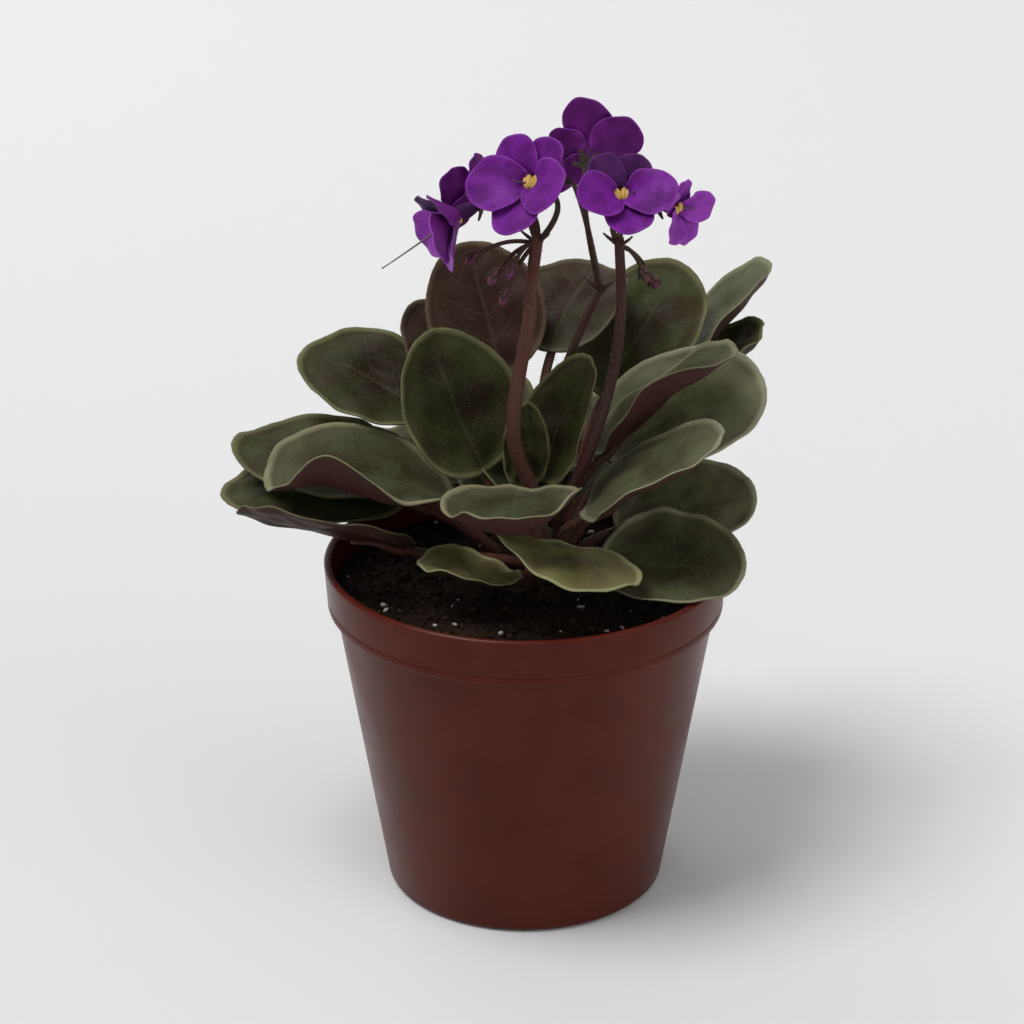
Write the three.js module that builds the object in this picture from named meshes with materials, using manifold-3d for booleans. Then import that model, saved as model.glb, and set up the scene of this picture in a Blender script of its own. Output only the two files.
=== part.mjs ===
// A potted African violet: a plastic pot filled with soil, a short crown with its leaves, and flower
// stalks with their blooms. Millimetres and degrees, +Z up, the origin at the middle of the pot's base.
// The front is -Y. A compass turn is measured from +X towards +Y, and a pitch from level upwards.
import * as THREE from 'three';
import { mergeVertices } from 'three/addons/utils/BufferGeometryUtils.js';
import Module from 'manifold-3d';

// Pot and soil
const POT_HEIGHT = 105;
const RIM_RADIUS = 60;
const BAND_HEIGHT = 14;
const BAND_STEP = 3.4;
const BAND_TAPER = 0.9;
const FOOT_ROUND = 1.5;
const BASE_RADIUS = 42;
const POT_WALL = 1.6;
const LIP_ROUND = 0.7;
const POT_SIDES = 32;
const DRAIN_HOLES = 6;
const DRAIN_RADIUS = 4;
const DRAIN_CIRCLE = 28;
const SOIL_DROP = 10;
const SOIL_MOUND = 2;
const SOIL_LUMP = 0.35;
const SOIL_LUMP_LENGTHS = [3.1, 5.3, 2.7, 7.9, 4.3];
const SOIL_RINGS = 3;
const CLEARANCE = 0.3;

// Crown, the short stem that carries everything
const CROWN = new THREE.Vector2(4, 2);
const CROWN_RADIUS = 7;
const CROWN_TOP = 25;
const CROWN_DEPTH = 24;
const CROWN_TAPER = 8;
const CROWN_SHOULDER = 5;
const SOIL_TOP = POT_HEIGHT - SOIL_DROP;

// Leaves
const BLADE_THICK = 1.2;
const BLADE_CELLS = 6;
const EGG = 0.1;
const ROOT_OUT = 5;
const ROOT_RISE = 14;
const PETIOLE_BEND = 0.35;
const PETIOLE_STEP = 10;
const PETIOLE_ROOT = 1.9;
const PETIOLE_NECK = 1.4;
const RIB_END = 0.55;
const RIB_SHARE = 0.35;
const STALK_SIDES = 5;
const COURSE_STEP = 1;

// Each leaf. root: where its petiole leaves the crown, as a compass turn and a height above the soil.
// base: where its blade begins. aim: the blade's compass turn, its pitch there and its pitch at the tip.
// size: length and width of the blade. roll: its lean to one side. cup: how far each side is turned up.
// wave: height of the waves in the margin, how many go round it, where they begin, and what share of that
// height the right-hand margin has.
const LEAVES = {
  back_left_low: {
    root: [153, 19], base: [-30, 19, 145], aim: [155, 28, -6], size: [44, 34],
    roll: -15, cup: 16, wave: [1, 3, 0, 1],
  },
  left_inner: {
    root: [190, 23], base: [-12, 6, 132], aim: [150, 58, 72], size: [43, 37],
    roll: -30, cup: 32, wave: [1, 3, 0, 1],
  },
  left_wavy: {
    root: [205, 17], base: [-21, -1, 125], aim: [187, 24, 4], size: [58, 40],
    roll: -16, cup: 12, wave: [8, 3, 210, 0.1],
  },
  left_upper: {
    root: [182, 12], base: [-36, 8, 126], aim: [172, 18, 2], size: [53, 34],
    roll: -6, cup: 12, wave: [1.5, 3, 60, 1],
  },
  left_lower: {
    root: [172, 6], base: [-35, 4, 120], aim: [177, 16, -6], size: [56, 34],
    roll: 0, cup: 12, wave: [1.2, 3, 0, 1],
  },
  left_edge: {
    root: [202, 9], base: [-37, -5, 111], aim: [189, 15, 16], size: [50, 34],
    roll: 22, cup: 10, wave: [1, 3, 0, 1],
  },
  front_middle: {
    root: [264, 12], base: [3, -10, 122], aim: [264, 35, 2], size: [38, 43],
    roll: -6, cup: 14, wave: [2, 3, 90, 1],
  },
  front_left: {
    root: [250, 6], base: [-4, -12, 106], aim: [210, 22, 25], size: [33, 25],
    roll: 0, cup: 15, wave: [1, 3, 0, 1],
  },
  front_right: {
    root: [294, 7], base: [8, -13, 117], aim: [285, 12, -6], size: [39, 43],
    roll: -20, cup: 12, wave: [1, 3, 0, 1],
  },
  right_low: {
    root: [320, 5], base: [15, -8, 115], aim: [345, -12, 6], size: [48, 39],
    roll: 20, cup: 24, wave: [1, 3, 0, 1],
  },
  right_under: {
    root: [352, 8], base: [27, 19, 108], aim: [3, 24, 8], size: [44, 25],
    roll: 14, cup: 18, wave: [1, 3, 0, 1],
  },
  right_broad: {
    root: [6, 13], base: [25, 15, 130], aim: [5, 38, 12], size: [52, 42],
    roll: 38, cup: 20, wave: [2, 3, 0, 1],
  },
  right_folded: {
    root: [345, 21], base: [20, 4, 134], aim: [10, 44, 30], size: [54, 28],
    roll: -12, cup: 45, wave: [2, 3, 0, 1],
  },
  right_front: {
    root: [318, 17], base: [21, -6, 128], aim: [341, 40, 32], size: [46, 30],
    roll: 14, cup: 14, wave: [1, 3, 0, 1],
  },
  centre_upright: {
    root: [5, 25], base: [10, 5, 130], aim: [25, 74, 80], size: [37, 21],
    roll: 30, cup: 32, wave: [1, 3, 0, 1],
  },
  centre_small: {
    root: [150, 25], base: [0, 5, 127], aim: [95, 84, 90], size: [28, 15],
    roll: 0, cup: 25, wave: [1, 3, 0, 1],
  },
  back_right_tall: {
    root: [40, 16], base: [23, 34, 142], aim: [47, 44, 38], size: [50, 38],
    roll: 15, cup: 18, wave: [1.5, 3, 0, 1],
  },
  back_right_long: {
    root: [62, 9], base: [38, 40, 140], aim: [37, 38, 36], size: [57, 34],
    roll: -20, cup: 16, wave: [1, 3, 0, 1],
  },
  back_right_low: {
    root: [38, 5], base: [38, 30, 131], aim: [34, 36, 36], size: [50, 33],
    roll: -18, cup: 16, wave: [1, 3, 0, 1],
  },
  back_left_dark: {
    root: [135, 11], base: [-14, 26, 143], aim: [130, 42, 40], size: [38, 34],
    roll: 0, cup: 16, wave: [1, 3, 0, 1],
  },
  back_left_tall: {
    root: [114, 14], base: [-7, 24, 153], aim: [119, 58, 54], size: [42, 36],
    roll: -22, cup: 18, wave: [1.5, 3, 0, 1],
  },
  back_tall: {
    root: [80, 17], base: [7, 30, 158], aim: [62, 50, 5], size: [38, 36],
    roll: 0, cup: 16, wave: [1, 3, 0, 1],
  },
  back_middle: {
    root: [106, 9], base: [-7, 35, 130], aim: [108, 24, 6], size: [46, 38],
    roll: 0, cup: 14, wave: [1, 3, 0, 1],
  },
  back_low: {
    root: [101, 5], base: [3, 41, 112], aim: [92, 4, -6], size: [46, 38],
    roll: 0, cup: 14, wave: [1, 3, 0, 1],
  },
  back_right_under: {
    root: [74, 6], base: [21, 37, 119], aim: [64, 14, 0], size: [50, 38],
    roll: 0, cup: 14, wave: [1, 3, 0, 1],
  },
  back_left_under: {
    root: [137, 6], base: [-23, 31, 114], aim: [133, 10, -4], size: [50, 38],
    roll: 0, cup: 14, wave: [1, 3, 0, 1],
  },
};

// The youngest leaf, at the growing point: it begins a little below the top of the crown and out from its
// middle
const HEART_LEAF = { turn: 305, pitch: 58, length: 9, width: 6, thick: 1, cup: 1, below: 4, out: 3, cells: 3 };

// Blooms: centre of the throat, compass turn and pitch of the way it faces, spin about that way,
// diameter, how far the petals stand forward, and the stalk that carries it
const BLOOMS = {
  front_left: [3.5, -12, 225, 238, 32, 10, 36, 32, 'left'],
  front_right: [26, -12, 221.5, 268, 30, 0, 34, 38, 'right'],
  top: [20, 8, 230.5, 70, 40, 34, 31, 24, 'back'],
  right: [41, 2, 214, 345, -5, 10, 26, 44, 'right'],
  left: [-19, -4, 209, 200, -8, 0, 30, 44, 'left'],
  left_back: [-16, 5, 219, 172, 12, 0, 21, 34, 'left'],
  back: [12, 24, 217, 110, 25, 0, 28, 26, 'back'],
};
// Each petal: its angle round the throat, its length and half width as shares of the bloom's radius,
// and how far forward it lies in the layers
const PETALS = [
  { angle: 54, share: 0.8, width: 0.34, layer: 0 },
  { angle: 126, share: 0.8, width: 0.34, layer: 1 },
  { angle: 198, share: 1, width: 0.44, layer: 2 },
  { angle: 270, share: 1.04, width: 0.45, layer: 0.6 },
  { angle: 342, share: 1, width: 0.44, layer: 2 },
];
const PETAL_THICK = 0.8;
const PETAL_CELLS = 3;
const PETAL_START = 0.8;
const PETAL_CURL = 16;
const PETAL_WAVE = 0.4;
const PETAL_LAYER = 1.15;
const PETAL_FLARE = 0.25;
const PETAL_SETTLE = 3;
const PETAL_WRAP = 1.5;
const THROAT = { front: 2.6, back: 1.3, depth: 4.5, ahead: 2.4, sides: 8 };
const ANTHER = { bloom: 34, apart: 1.25, wide: 1.45, tall: 2.2, deep: 1.15, forward: 3.6, splay: 14 };

// Flower stalks: the points that each follows, its radius below and above, and its young buds, each
// given by where it hangs
const STALKS = {
  left: {
    course: [
      [2, -1, 115], [0.5, -5, 127], [-3, -6.5, 141], [-3.5, -8, 152], [-2, -8, 165], [1, -8, 183],
      [1.5, -8, 193], [3.4, -7, 208],
    ],
    root: 2.4, top: 1.7, buds: [[-9, -9, 196], [-15, -4, 200]],
  },
  right: {
    course: [
      [8, -2, 116], [15, -7, 132.5], [20.5, -6.5, 147], [25.7, -3, 166.5], [27.4, -1, 185], [26.6, -1, 205],
    ],
    root: 1.9, top: 1.4, buds: [[34, 2, 193], [37, 7, 189]],
  },
  back: {
    course: [[8, 5, 116], [8.5, 11, 130], [10.5, 13, 149], [12.5, 13, 162], [20, 12, 181], [23, 11, 186]],
    root: 1.6, top: 1.1, buds: [],
  },
};
const STALK_STEPS = 10;
const PEDICEL = { root: 0.95, top: 0.75, sides: 4, steps: 5, reach: 13 };
const SEPAL = { count: 5, length: 5, width: 1.9, thick: 1, lean: 62, out: 1.2, back: 0.5 };
const BUD = { long: 6, wide: 3.4, lean: 70 };

const MATERIALS = {
  pot: new THREE.MeshStandardMaterial({ color: 0x8a4632, roughness: 0.45 }),
  soil: new THREE.MeshStandardMaterial({ color: 0x241a13, roughness: 1 }),
  crown: new THREE.MeshStandardMaterial({ color: 0x5c5a3c, roughness: 0.8 }),
  leaf: new THREE.MeshStandardMaterial({ color: 0x454a30, roughness: 0.6 }),
  stalk: new THREE.MeshStandardMaterial({ color: 0x643c38, roughness: 0.6 }),
  petal: new THREE.MeshStandardMaterial({ color: 0x74309a, roughness: 0.6 }),
  anther: new THREE.MeshStandardMaterial({ color: 0xdcb84e, roughness: 0.6 }),
};

const wasm = await Module();
wasm.setup();

const rad = THREE.MathUtils.degToRad;
const clamp = THREE.MathUtils.clamp;

// A closed three.js geometry as a solid that can be joined and cut.
function solidOf(geometry) {
  const bare = new THREE.BufferGeometry();
  bare.setAttribute('position', geometry.getAttribute('position'));
  bare.setIndex(geometry.index);
  const merged = mergeVertices(bare, 1e-3);
  const vertProperties = merged.getAttribute('position').array;
  const triVerts = new Uint32Array(merged.index.array);
  return new wasm.Manifold(new wasm.Mesh({ numProp: 3, vertProperties, triVerts }));
}

function geometryOf(solid) {
  const mesh = solid.getMesh();
  const geometry = new THREE.BufferGeometry();
  geometry.setAttribute('position', new THREE.BufferAttribute(mesh.vertProperties, 3));
  geometry.setIndex(new THREE.BufferAttribute(mesh.triVerts, 1));
  return geometry;
}

const joined = (solids) => solids.reduce((all, next) => all.add(next));

// Moves every vertex of a geometry to where place(x, y, z) says.
function bent(geometry, place) {
  const position = geometry.getAttribute('position');
  for (let i = 0; i < position.count; i++) {
    const p = place(position.getX(i), position.getY(i), position.getZ(i));
    position.setXYZ(i, p.x, p.y, p.z);
  }
  return geometry;
}

// A thin closed blade. middle(x, y) places the unit disc in space, and both faces are split alike.
function blade(middle, thick, cells) {
  const grid = new THREE.PlaneGeometry(2, 2, cells, cells);
  const flat = grid.getAttribute('position');
  const count = flat.count;
  const vertices = new Float32Array(count * 6);
  for (let i = 0; i < count; i++) {
    const [u, v] = [flat.getX(i), flat.getY(i)];
    const x = u * Math.sqrt(1 - (v * v) / 2);
    const y = v * Math.sqrt(1 - (u * u) / 2);
    const p = middle(x, y);
    const alongX = middle(x + 0.01, y).sub(middle(x - 0.01, y));
    const alongY = middle(x, y + 0.01).sub(middle(x, y - 0.01));
    const half = alongX.cross(alongY).setLength(thick / 2);
    p.clone().add(half).toArray(vertices, i * 3);
    p.clone().sub(half).toArray(vertices, (count + i) * 3);
  }
  const faces = [];
  const top = grid.index.array;
  for (let i = 0; i < top.length; i += 3) {
    const [a, b, c] = top.slice(i, i + 3);
    faces.push(a, b, c, count + a, count + c, count + b);
  }
  const row = cells + 1;
  const at = (column, line) => line * row + column;
  const loop = [];
  for (let k = 0; k < cells; k++) loop.push(at(k, cells));
  for (let k = cells; k > 0; k--) loop.push(at(cells, k));
  for (let k = cells; k > 0; k--) loop.push(at(k, 0));
  for (let k = 0; k < cells; k++) loop.push(at(0, k));
  loop.forEach((a, k) => {
    const b = loop[(k + 1) % loop.length];
    faces.push(b, a, count + a, b, count + a, count + b);
  });
  const closed = new THREE.BufferGeometry();
  closed.setAttribute('position', new THREE.BufferAttribute(vertices, 3));
  closed.setIndex(faces);
  return solidOf(closed);
}

// A closed tapering stalk along frame(t), with t from 0 to 1.
function stalk(frame, radius, sides, steps) {
  const straight = new THREE.CylinderGeometry(1, 1, 1, sides, steps);
  return solidOf(bent(straight, (x, y, z) => {
    const t = y + 0.5;
    const { point, left, up } = frame(t);
    const r = radius(t);
    return point.clone().addScaledVector(left, x * r).addScaledVector(up, -z * r);
  }));
}

// The frame along a curve, kept square to a fixed sideways direction.
function frameOn(curve) {
  return (t) => {
    const point = curve.getPointAt(t);
    const forward = curve.getTangentAt(t);
    const aside = Math.abs(forward.y) > 0.8 ? new THREE.Vector3(1, 0, 0) : new THREE.Vector3(0, 1, 0);
    const left = aside.cross(forward).normalize();
    const up = forward.clone().cross(left);
    return { point, left, up };
  };
}

const direction = (turn, pitch) => new THREE.Vector3(
  Math.cos(rad(pitch)) * Math.cos(rad(turn)),
  Math.cos(rad(pitch)) * Math.sin(rad(turn)),
  Math.sin(rad(pitch)),
);

// The line that a leaf follows, out along its petiole and then along its midrib.
function courseOf(leaf) {
  const [rootTurn, rootHeight] = leaf.root;
  const [turn, set, tip] = leaf.aim;
  const start = direction(rootTurn, 0).multiplyScalar(ROOT_OUT);
  start.add(new THREE.Vector3(CROWN.x, CROWN.y, SOIL_TOP + rootHeight));
  const base = new THREE.Vector3(...leaf.base);
  const chord = base.clone().sub(start);
  const climb = THREE.MathUtils.radToDeg(Math.atan2(chord.z, Math.hypot(chord.x, chord.y)));
  const pull = chord.length() * PETIOLE_BEND;
  const curve = new THREE.CubicBezierCurve3(
    start,
    start.clone().addScaledVector(direction(rootTurn, Math.min(climb + ROOT_RISE, 88)), pull),
    base.clone().addScaledVector(direction(turn, set), -pull),
    base,
  );
  const petiole = curve.getLength();
  const level = new THREE.Vector3(-Math.sin(rad(turn)), Math.cos(rad(turn)), 0);
  const length = leaf.size[0];
  const blades = [];
  const point = base.clone();
  for (let s = 0; s <= length + COURSE_STEP; s += COURSE_STEP) {
    const forward = direction(turn, set + ((tip - set) * Math.min(s, length)) / length);
    const left = level.clone().applyAxisAngle(forward, rad(leaf.roll));
    blades.push({ point: point.clone(), left, up: forward.clone().cross(left) });
    point.addScaledVector(forward, COURSE_STEP);
  }
  const along = (s) => {
    if (s < petiole) {
      const forward = curve.getTangentAt(s / petiole);
      const up = forward.clone().cross(blades[0].left).normalize();
      return { point: curve.getPointAt(s / petiole), left: up.clone().cross(forward), up };
    }
    const k = clamp(Math.floor((s - petiole) / COURSE_STEP), 0, blades.length - 2);
    const share = (s - petiole) / COURSE_STEP - k;
    const [a, b] = [blades[k], blades[k + 1]];
    return {
      point: a.point.clone().lerp(b.point, share),
      left: a.left.clone().lerp(b.left, share).normalize(),
      up: a.up.clone().lerp(b.up, share).normalize(),
    };
  };
  return { along, petiole };
}

// Where the middle of a leaf's blade lies: x runs from its base to its tip and y to its left.
function bladeOf(leaf, course) {
  const curl = rad(leaf.cup);
  const [length, width] = leaf.size;
  const [wave, lobes, phase, other] = leaf.wave;
  return (x, y) => {
    const { point, left, up } = course.along(course.petiole + (length * (x + 1)) / 2);
    const side = y * (1 - EGG * x);
    const across = (width / 2 / curl) * Math.sin(curl * side);
    const lift = (width / 2 / curl) * (1 - Math.cos(curl * side));
    const edge = Math.pow(x * x + y * y, 1.5) * clamp((x + 1) * 1.5, 0, 1);
    const share = (1 + y + other * (1 - y)) / 2;
    const ripple = wave * share * edge * Math.sin(lobes * Math.atan2(y, x) + rad(phase));
    return point.addScaledVector(left, across).addScaledVector(up, lift + ripple);
  };
}

function leafSolid(leaf) {
  const course = courseOf(leaf);
  const face = blade(bladeOf(leaf, course), BLADE_THICK, BLADE_CELLS);
  const reach = course.petiole + leaf.size[0] * RIB_SHARE;
  const neck = course.petiole / reach;
  const radius = (t) => (t < neck
    ? PETIOLE_ROOT + (PETIOLE_NECK - PETIOLE_ROOT) * (t / neck)
    : PETIOLE_NECK + (RIB_END - PETIOLE_NECK) * ((t - neck) / (1 - neck)));
  const frame = (t) => {
    const { point, left, up } = course.along(t * reach);
    return { point: point.addScaledVector(up, -radius(t)), left, up };
  };
  const steps = Math.max(5, Math.round(reach / PETIOLE_STEP));
  return face.add(stalk(frame, radius, STALK_SIDES, steps)).subtract(crownSolid(CLEARANCE, false));
}

// The crown: a short stem set deep in the soil, with the small leaves of the growing point on it.
function crownSolid(grow, withHeart) {
  const r = CROWN_RADIUS + grow;
  const top = SOIL_TOP + CROWN_TOP + grow;
  const foot = SOIL_TOP - CROWN_DEPTH - grow;
  const profile = [
    [0, foot], [r * 0.45, foot], [r * 0.8, foot + CROWN_TAPER], [r, SOIL_TOP - 2],
    [r, top - CROWN_SHOULDER], [r * 0.8, top - 0.4 * CROWN_SHOULDER], [r * 0.45, top - 0.08 * CROWN_SHOULDER],
    [0, top],
  ].map(([x, y]) => new THREE.Vector2(x, y));
  const stem = new THREE.LatheGeometry(profile, 10).rotateX(Math.PI / 2);
  stem.translate(CROWN.x, CROWN.y, 0);
  const body = solidOf(stem);
  if (!withHeart) return body;
  return body.add(heartSolid());
}

function heartSolid() {
  const { turn, pitch, length, width, thick, cup, below, out, cells } = HEART_LEAF;
  const forward = direction(turn, pitch);
  const left = new THREE.Vector3(-Math.sin(rad(turn)), Math.cos(rad(turn)), 0);
  const up = forward.clone().cross(left);
  const start = new THREE.Vector3(CROWN.x, CROWN.y, SOIL_TOP + CROWN_TOP - below).addScaledVector(forward, out);
  return blade((x, y) => start.clone()
    .addScaledVector(forward, (length * (x + 1)) / 2)
    .addScaledVector(left, (width / 2) * y)
    .addScaledVector(up, cup * y * y), thick, cells);
}

// A bloom's own frame: the way it faces, its right and its up, seen from the front.
function bloomFrame(bloom) {
  const facing = direction(bloom.turn, bloom.pitch);
  const right = new THREE.Vector3(-Math.sin(rad(bloom.turn)), Math.cos(rad(bloom.turn)), 0);
  right.applyAxisAngle(facing, rad(bloom.spin));
  const up = facing.clone().cross(right);
  return { facing, right, up };
}

function bloomNamed(values) {
  const [x, y, z, turn, pitch, spin, across, cup, carrier] = values;
  return { centre: new THREE.Vector3(x, y, z), turn, pitch, spin, across, cup, carrier };
}

// Where the middle of a petal lies: x runs outwards and y to its left. It is wrapped round the cone that
// the petals make together, so that each lies over or under the next.
function petalOf(bloom, frame, petal, order) {
  const { facing, right, up } = frame;
  const length = (bloom.across / 2) * petal.share - PETAL_START;
  const halfWidth = (bloom.across / 2) * petal.width;
  const layer = (PETAL_LAYER * petal.layer) / Math.cos(rad(bloom.cup));
  return (x, y) => {
    const t = (x + 1) / 2;
    const lean = rad(bloom.cup + PETAL_CURL * (0.5 - t));
    const along = PETAL_START + length * t;
    const radius = along * Math.cos(lean);
    const wrap = (halfWidth * y * (1 + PETAL_FLARE * x)) / (radius + PETAL_WRAP);
    const ripple = PETAL_WAVE * (x * x + y * y) * Math.sin(3 * Math.atan2(y, x) + order * 2);
    const settled = clamp((length * t) / PETAL_SETTLE, 0, 1);
    const angle = rad(petal.angle) + wrap;
    return bloom.centre.clone()
      .addScaledVector(right, radius * Math.cos(angle))
      .addScaledVector(up, radius * Math.sin(angle))
      .addScaledVector(facing, along * Math.sin(lean) + ripple + layer * settled);
  };
}

function alongFacing(geometry, bloom, frame, forward) {
  const turned = new THREE.Matrix4().makeBasis(frame.right, frame.up, frame.facing);
  turned.setPosition(bloom.centre.clone().addScaledVector(frame.facing, forward));
  return geometry.applyMatrix4(turned);
}

// The pair of yellow anthers that stand in the throat.
function antherSolid(bloom, frame, grow) {
  const share = bloom.across / ANTHER.bloom;
  const lobes = [-1, 1].map((side) => {
    const lobe = new THREE.SphereGeometry(1, 6, 3);
    lobe.scale(ANTHER.wide * share + grow, ANTHER.tall * share + grow, ANTHER.deep * share + grow);
    lobe.rotateZ(rad(-ANTHER.splay * side));
    lobe.translate(side * ANTHER.apart * share, 0, 0);
    return solidOf(alongFacing(lobe, bloom, frame, ANTHER.forward));
  });
  return joined(lobes);
}

function corollaSolid(bloom, frame) {
  const petals = PETALS.map((petal, order) => (
    blade(petalOf(bloom, frame, petal, order), PETAL_THICK, PETAL_CELLS)));
  const long = THROAT.depth + THROAT.ahead;
  const tube = new THREE.CylinderGeometry(THROAT.front, THROAT.back, long, THROAT.sides).rotateX(Math.PI / 2);
  const throat = solidOf(alongFacing(tube, bloom, frame, (THROAT.ahead - THROAT.depth) / 2));
  return joined([throat, ...petals]).subtract(antherSolid(bloom, frame, CLEARANCE));
}

// A pointed sepal that leans out from the end of a pedicel.
function sepalSolid(end, facing, aside, lean, length) {
  const cone = new THREE.ConeGeometry(1, 1, 3);
  const forward = facing.clone().multiplyScalar(Math.cos(rad(lean)));
  forward.addScaledVector(aside, Math.sin(rad(lean)));
  const across = facing.clone().cross(aside).normalize();
  const up = across.clone().cross(forward);
  const foot = end.clone().addScaledVector(aside, SEPAL.out).addScaledVector(facing, -SEPAL.back);
  return solidOf(bent(cone, (x, y, z) => foot.clone()
    .addScaledVector(forward, (y + 0.5) * length - SEPAL.out)
    .addScaledVector(across, (x * SEPAL.width) / 2)
    .addScaledVector(up, (z * SEPAL.thick) / 2)));
}

// A pedicel from the stalk to the back of a bloom, with its sepals.
function pedicelSolids(start, end, facing) {
  const bend = end.clone().addScaledVector(facing, -PEDICEL.reach);
  const curve = new THREE.QuadraticBezierCurve3(start, bend, end);
  const radius = (t) => PEDICEL.root + (PEDICEL.top - PEDICEL.root) * t;
  const sideways = Math.abs(facing.z) > 0.9 ? new THREE.Vector3(1, 0, 0) : new THREE.Vector3(0, 0, 1);
  const first = sideways.cross(facing).normalize();
  const sepals = [];
  for (let k = 0; k < SEPAL.count; k++) {
    const aside = first.clone().applyAxisAngle(facing, ((k + 0.5) * 2 * Math.PI) / SEPAL.count);
    sepals.push(sepalSolid(end, facing, aside, SEPAL.lean, SEPAL.length));
  }
  return [stalk(frameOn(curve), radius, PEDICEL.sides, PEDICEL.steps), ...sepals];
}

// A young bud that hangs on a short pedicel, wrapped in its sepals.
function budSolids(start, place) {
  const centre = new THREE.Vector3(...place);
  const bend = start.clone().lerp(centre, 0.5).add(new THREE.Vector3(0, 0, 5));
  const curve = new THREE.QuadraticBezierCurve3(start, bend, centre);
  const hang = curve.getTangentAt(1);
  const body = new THREE.SphereGeometry(1, 6, 3);
  body.scale(BUD.wide / 2, BUD.long / 2, BUD.wide / 2);
  const turned = new THREE.Quaternion().setFromUnitVectors(new THREE.Vector3(0, 1, 0), hang);
  body.applyQuaternion(turned).translate(...centre.toArray());
  const radius = () => PEDICEL.top;
  return [solidOf(body), stalk(frameOn(curve), radius, PEDICEL.sides, 4)];
}

function stalkSolid(name, blooms) {
  const { course, root, top, buds } = STALKS[name];
  const curve = new THREE.CatmullRomCurve3(course.map((p) => new THREE.Vector3(...p)));
  const radius = (t) => root + (top - root) * t;
  const parts = [stalk(frameOn(curve), radius, STALK_SIDES, STALK_STEPS)];
  const fork = curve.getPointAt(0.97);
  blooms.filter((bloom) => bloom.carrier === name).forEach((bloom) => {
    const { facing } = bloomFrame(bloom);
    const back = THROAT.depth + CLEARANCE;
    parts.push(...pedicelSolids(fork, bloom.centre.clone().addScaledVector(facing, -back), facing));
  });
  buds.forEach((place) => parts.push(...budSolids(fork, place)));
  return joined(parts).subtract(crownSolid(CLEARANCE, false));
}

// The pot: a tapering wall with a band round the rim, a floor, and drainage holes in it.
function potSolid() {
  const band = POT_HEIGHT - BAND_HEIGHT;
  const under = RIM_RADIUS - BAND_STEP;
  const wall = POT_WALL;
  const profile = [
    [0, 0], [BASE_RADIUS - FOOT_ROUND, 0], [BASE_RADIUS, FOOT_ROUND], [under, band - FOOT_ROUND],
    [RIM_RADIUS - BAND_TAPER, band],
    [RIM_RADIUS, POT_HEIGHT - LIP_ROUND], [RIM_RADIUS - LIP_ROUND, POT_HEIGHT],
    [RIM_RADIUS - wall, POT_HEIGHT], [RIM_RADIUS - wall - 0.7, POT_HEIGHT - 1.2],
    [RIM_RADIUS - wall - BAND_TAPER, band + 1.2], [under - wall, band - 1], [BASE_RADIUS - wall, wall + 1],
    [BASE_RADIUS - wall - 1, wall], [0, wall],
  ].map(([x, y]) => new THREE.Vector2(x, y));
  const shell = solidOf(new THREE.LatheGeometry(profile, POT_SIDES).rotateX(Math.PI / 2));
  const holes = [];
  for (let k = 0; k < DRAIN_HOLES; k++) {
    const drill = new THREE.CylinderGeometry(DRAIN_RADIUS, DRAIN_RADIUS, 4 * wall, 10);
    const turn = (k * 2 * Math.PI) / DRAIN_HOLES;
    drill.rotateX(Math.PI / 2);
    drill.translate(DRAIN_CIRCLE * Math.cos(turn), DRAIN_CIRCLE * Math.sin(turn), wall / 2);
    holes.push(solidOf(drill));
  }
  return holes.reduce((pot, hole) => pot.subtract(hole), shell);
}

// The soil fills the pot with a small clearance, and its top is mounded and lumpy.
function soilSolid() {
  const gap = POT_WALL + CLEARANCE;
  const band = POT_HEIGHT - BAND_HEIGHT;
  const under = RIM_RADIUS - BAND_STEP - gap;
  const edge = RIM_RADIUS - gap - 1.2;
  const profile = [
    [0, gap], [BASE_RADIUS - gap - 1.4, gap], [BASE_RADIUS - gap - 0.2, gap + 1.4], [under - 0.2, band - 1],
    [edge, band + 1.6], [edge, SOIL_TOP - 1],
  ];
  for (let ring = SOIL_RINGS; ring >= 0; ring--) profile.push([(edge * ring) / SOIL_RINGS, SOIL_TOP]);
  const points = profile.map(([x, y]) => new THREE.Vector2(x, y));
  const body = new THREE.LatheGeometry(points, POT_SIDES).rotateX(Math.PI / 2);
  const [a, b, c, d, e] = SOIL_LUMP_LENGTHS;
  const lumpy = bent(body, (x, y, z) => {
    const top = Math.abs(z - SOIL_TOP) < 0.5;
    const r = Math.hypot(x, y) / edge;
    const lumps = Math.sin(x / a + y / b) + Math.sin(y / c - x / d) + Math.sin((x + y) / e);
    const rise = SOIL_MOUND * (1 - r * r) + SOIL_LUMP * lumps * (1 - r ** 6);
    return new THREE.Vector3(x, y, top ? z + rise : z);
  });
  return solidOf(lumpy).subtract(crownSolid(CLEARANCE, false));
}

function addMesh(group, name, solid, material) {
  const mesh = new THREE.Mesh(geometryOf(solid), material);
  mesh.name = name;
  group.add(mesh);
}

const violet = new THREE.Group();
addMesh(violet, 'pot', potSolid(), MATERIALS.pot);
addMesh(violet, 'soil', soilSolid(), MATERIALS.soil);
addMesh(violet, 'crown', crownSolid(0, true), MATERIALS.crown);
for (const [name, leaf] of Object.entries(LEAVES)) {
  addMesh(violet, `leaf_${name}`, leafSolid(leaf), MATERIALS.leaf);
}
const blooms = Object.values(BLOOMS).map(bloomNamed);
for (const name of Object.keys(STALKS)) {
  addMesh(violet, `stalk_${name}`, stalkSolid(name, blooms), MATERIALS.stalk);
}
for (const [name, values] of Object.entries(BLOOMS)) {
  const bloom = bloomNamed(values);
  const frame = bloomFrame(bloom);
  addMesh(violet, `bloom_${name}`, corollaSolid(bloom, frame), MATERIALS.petal);
  addMesh(violet, `anthers_${name}`, antherSolid(bloom, frame, 0), MATERIALS.anther);
}

export default violet;
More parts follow.
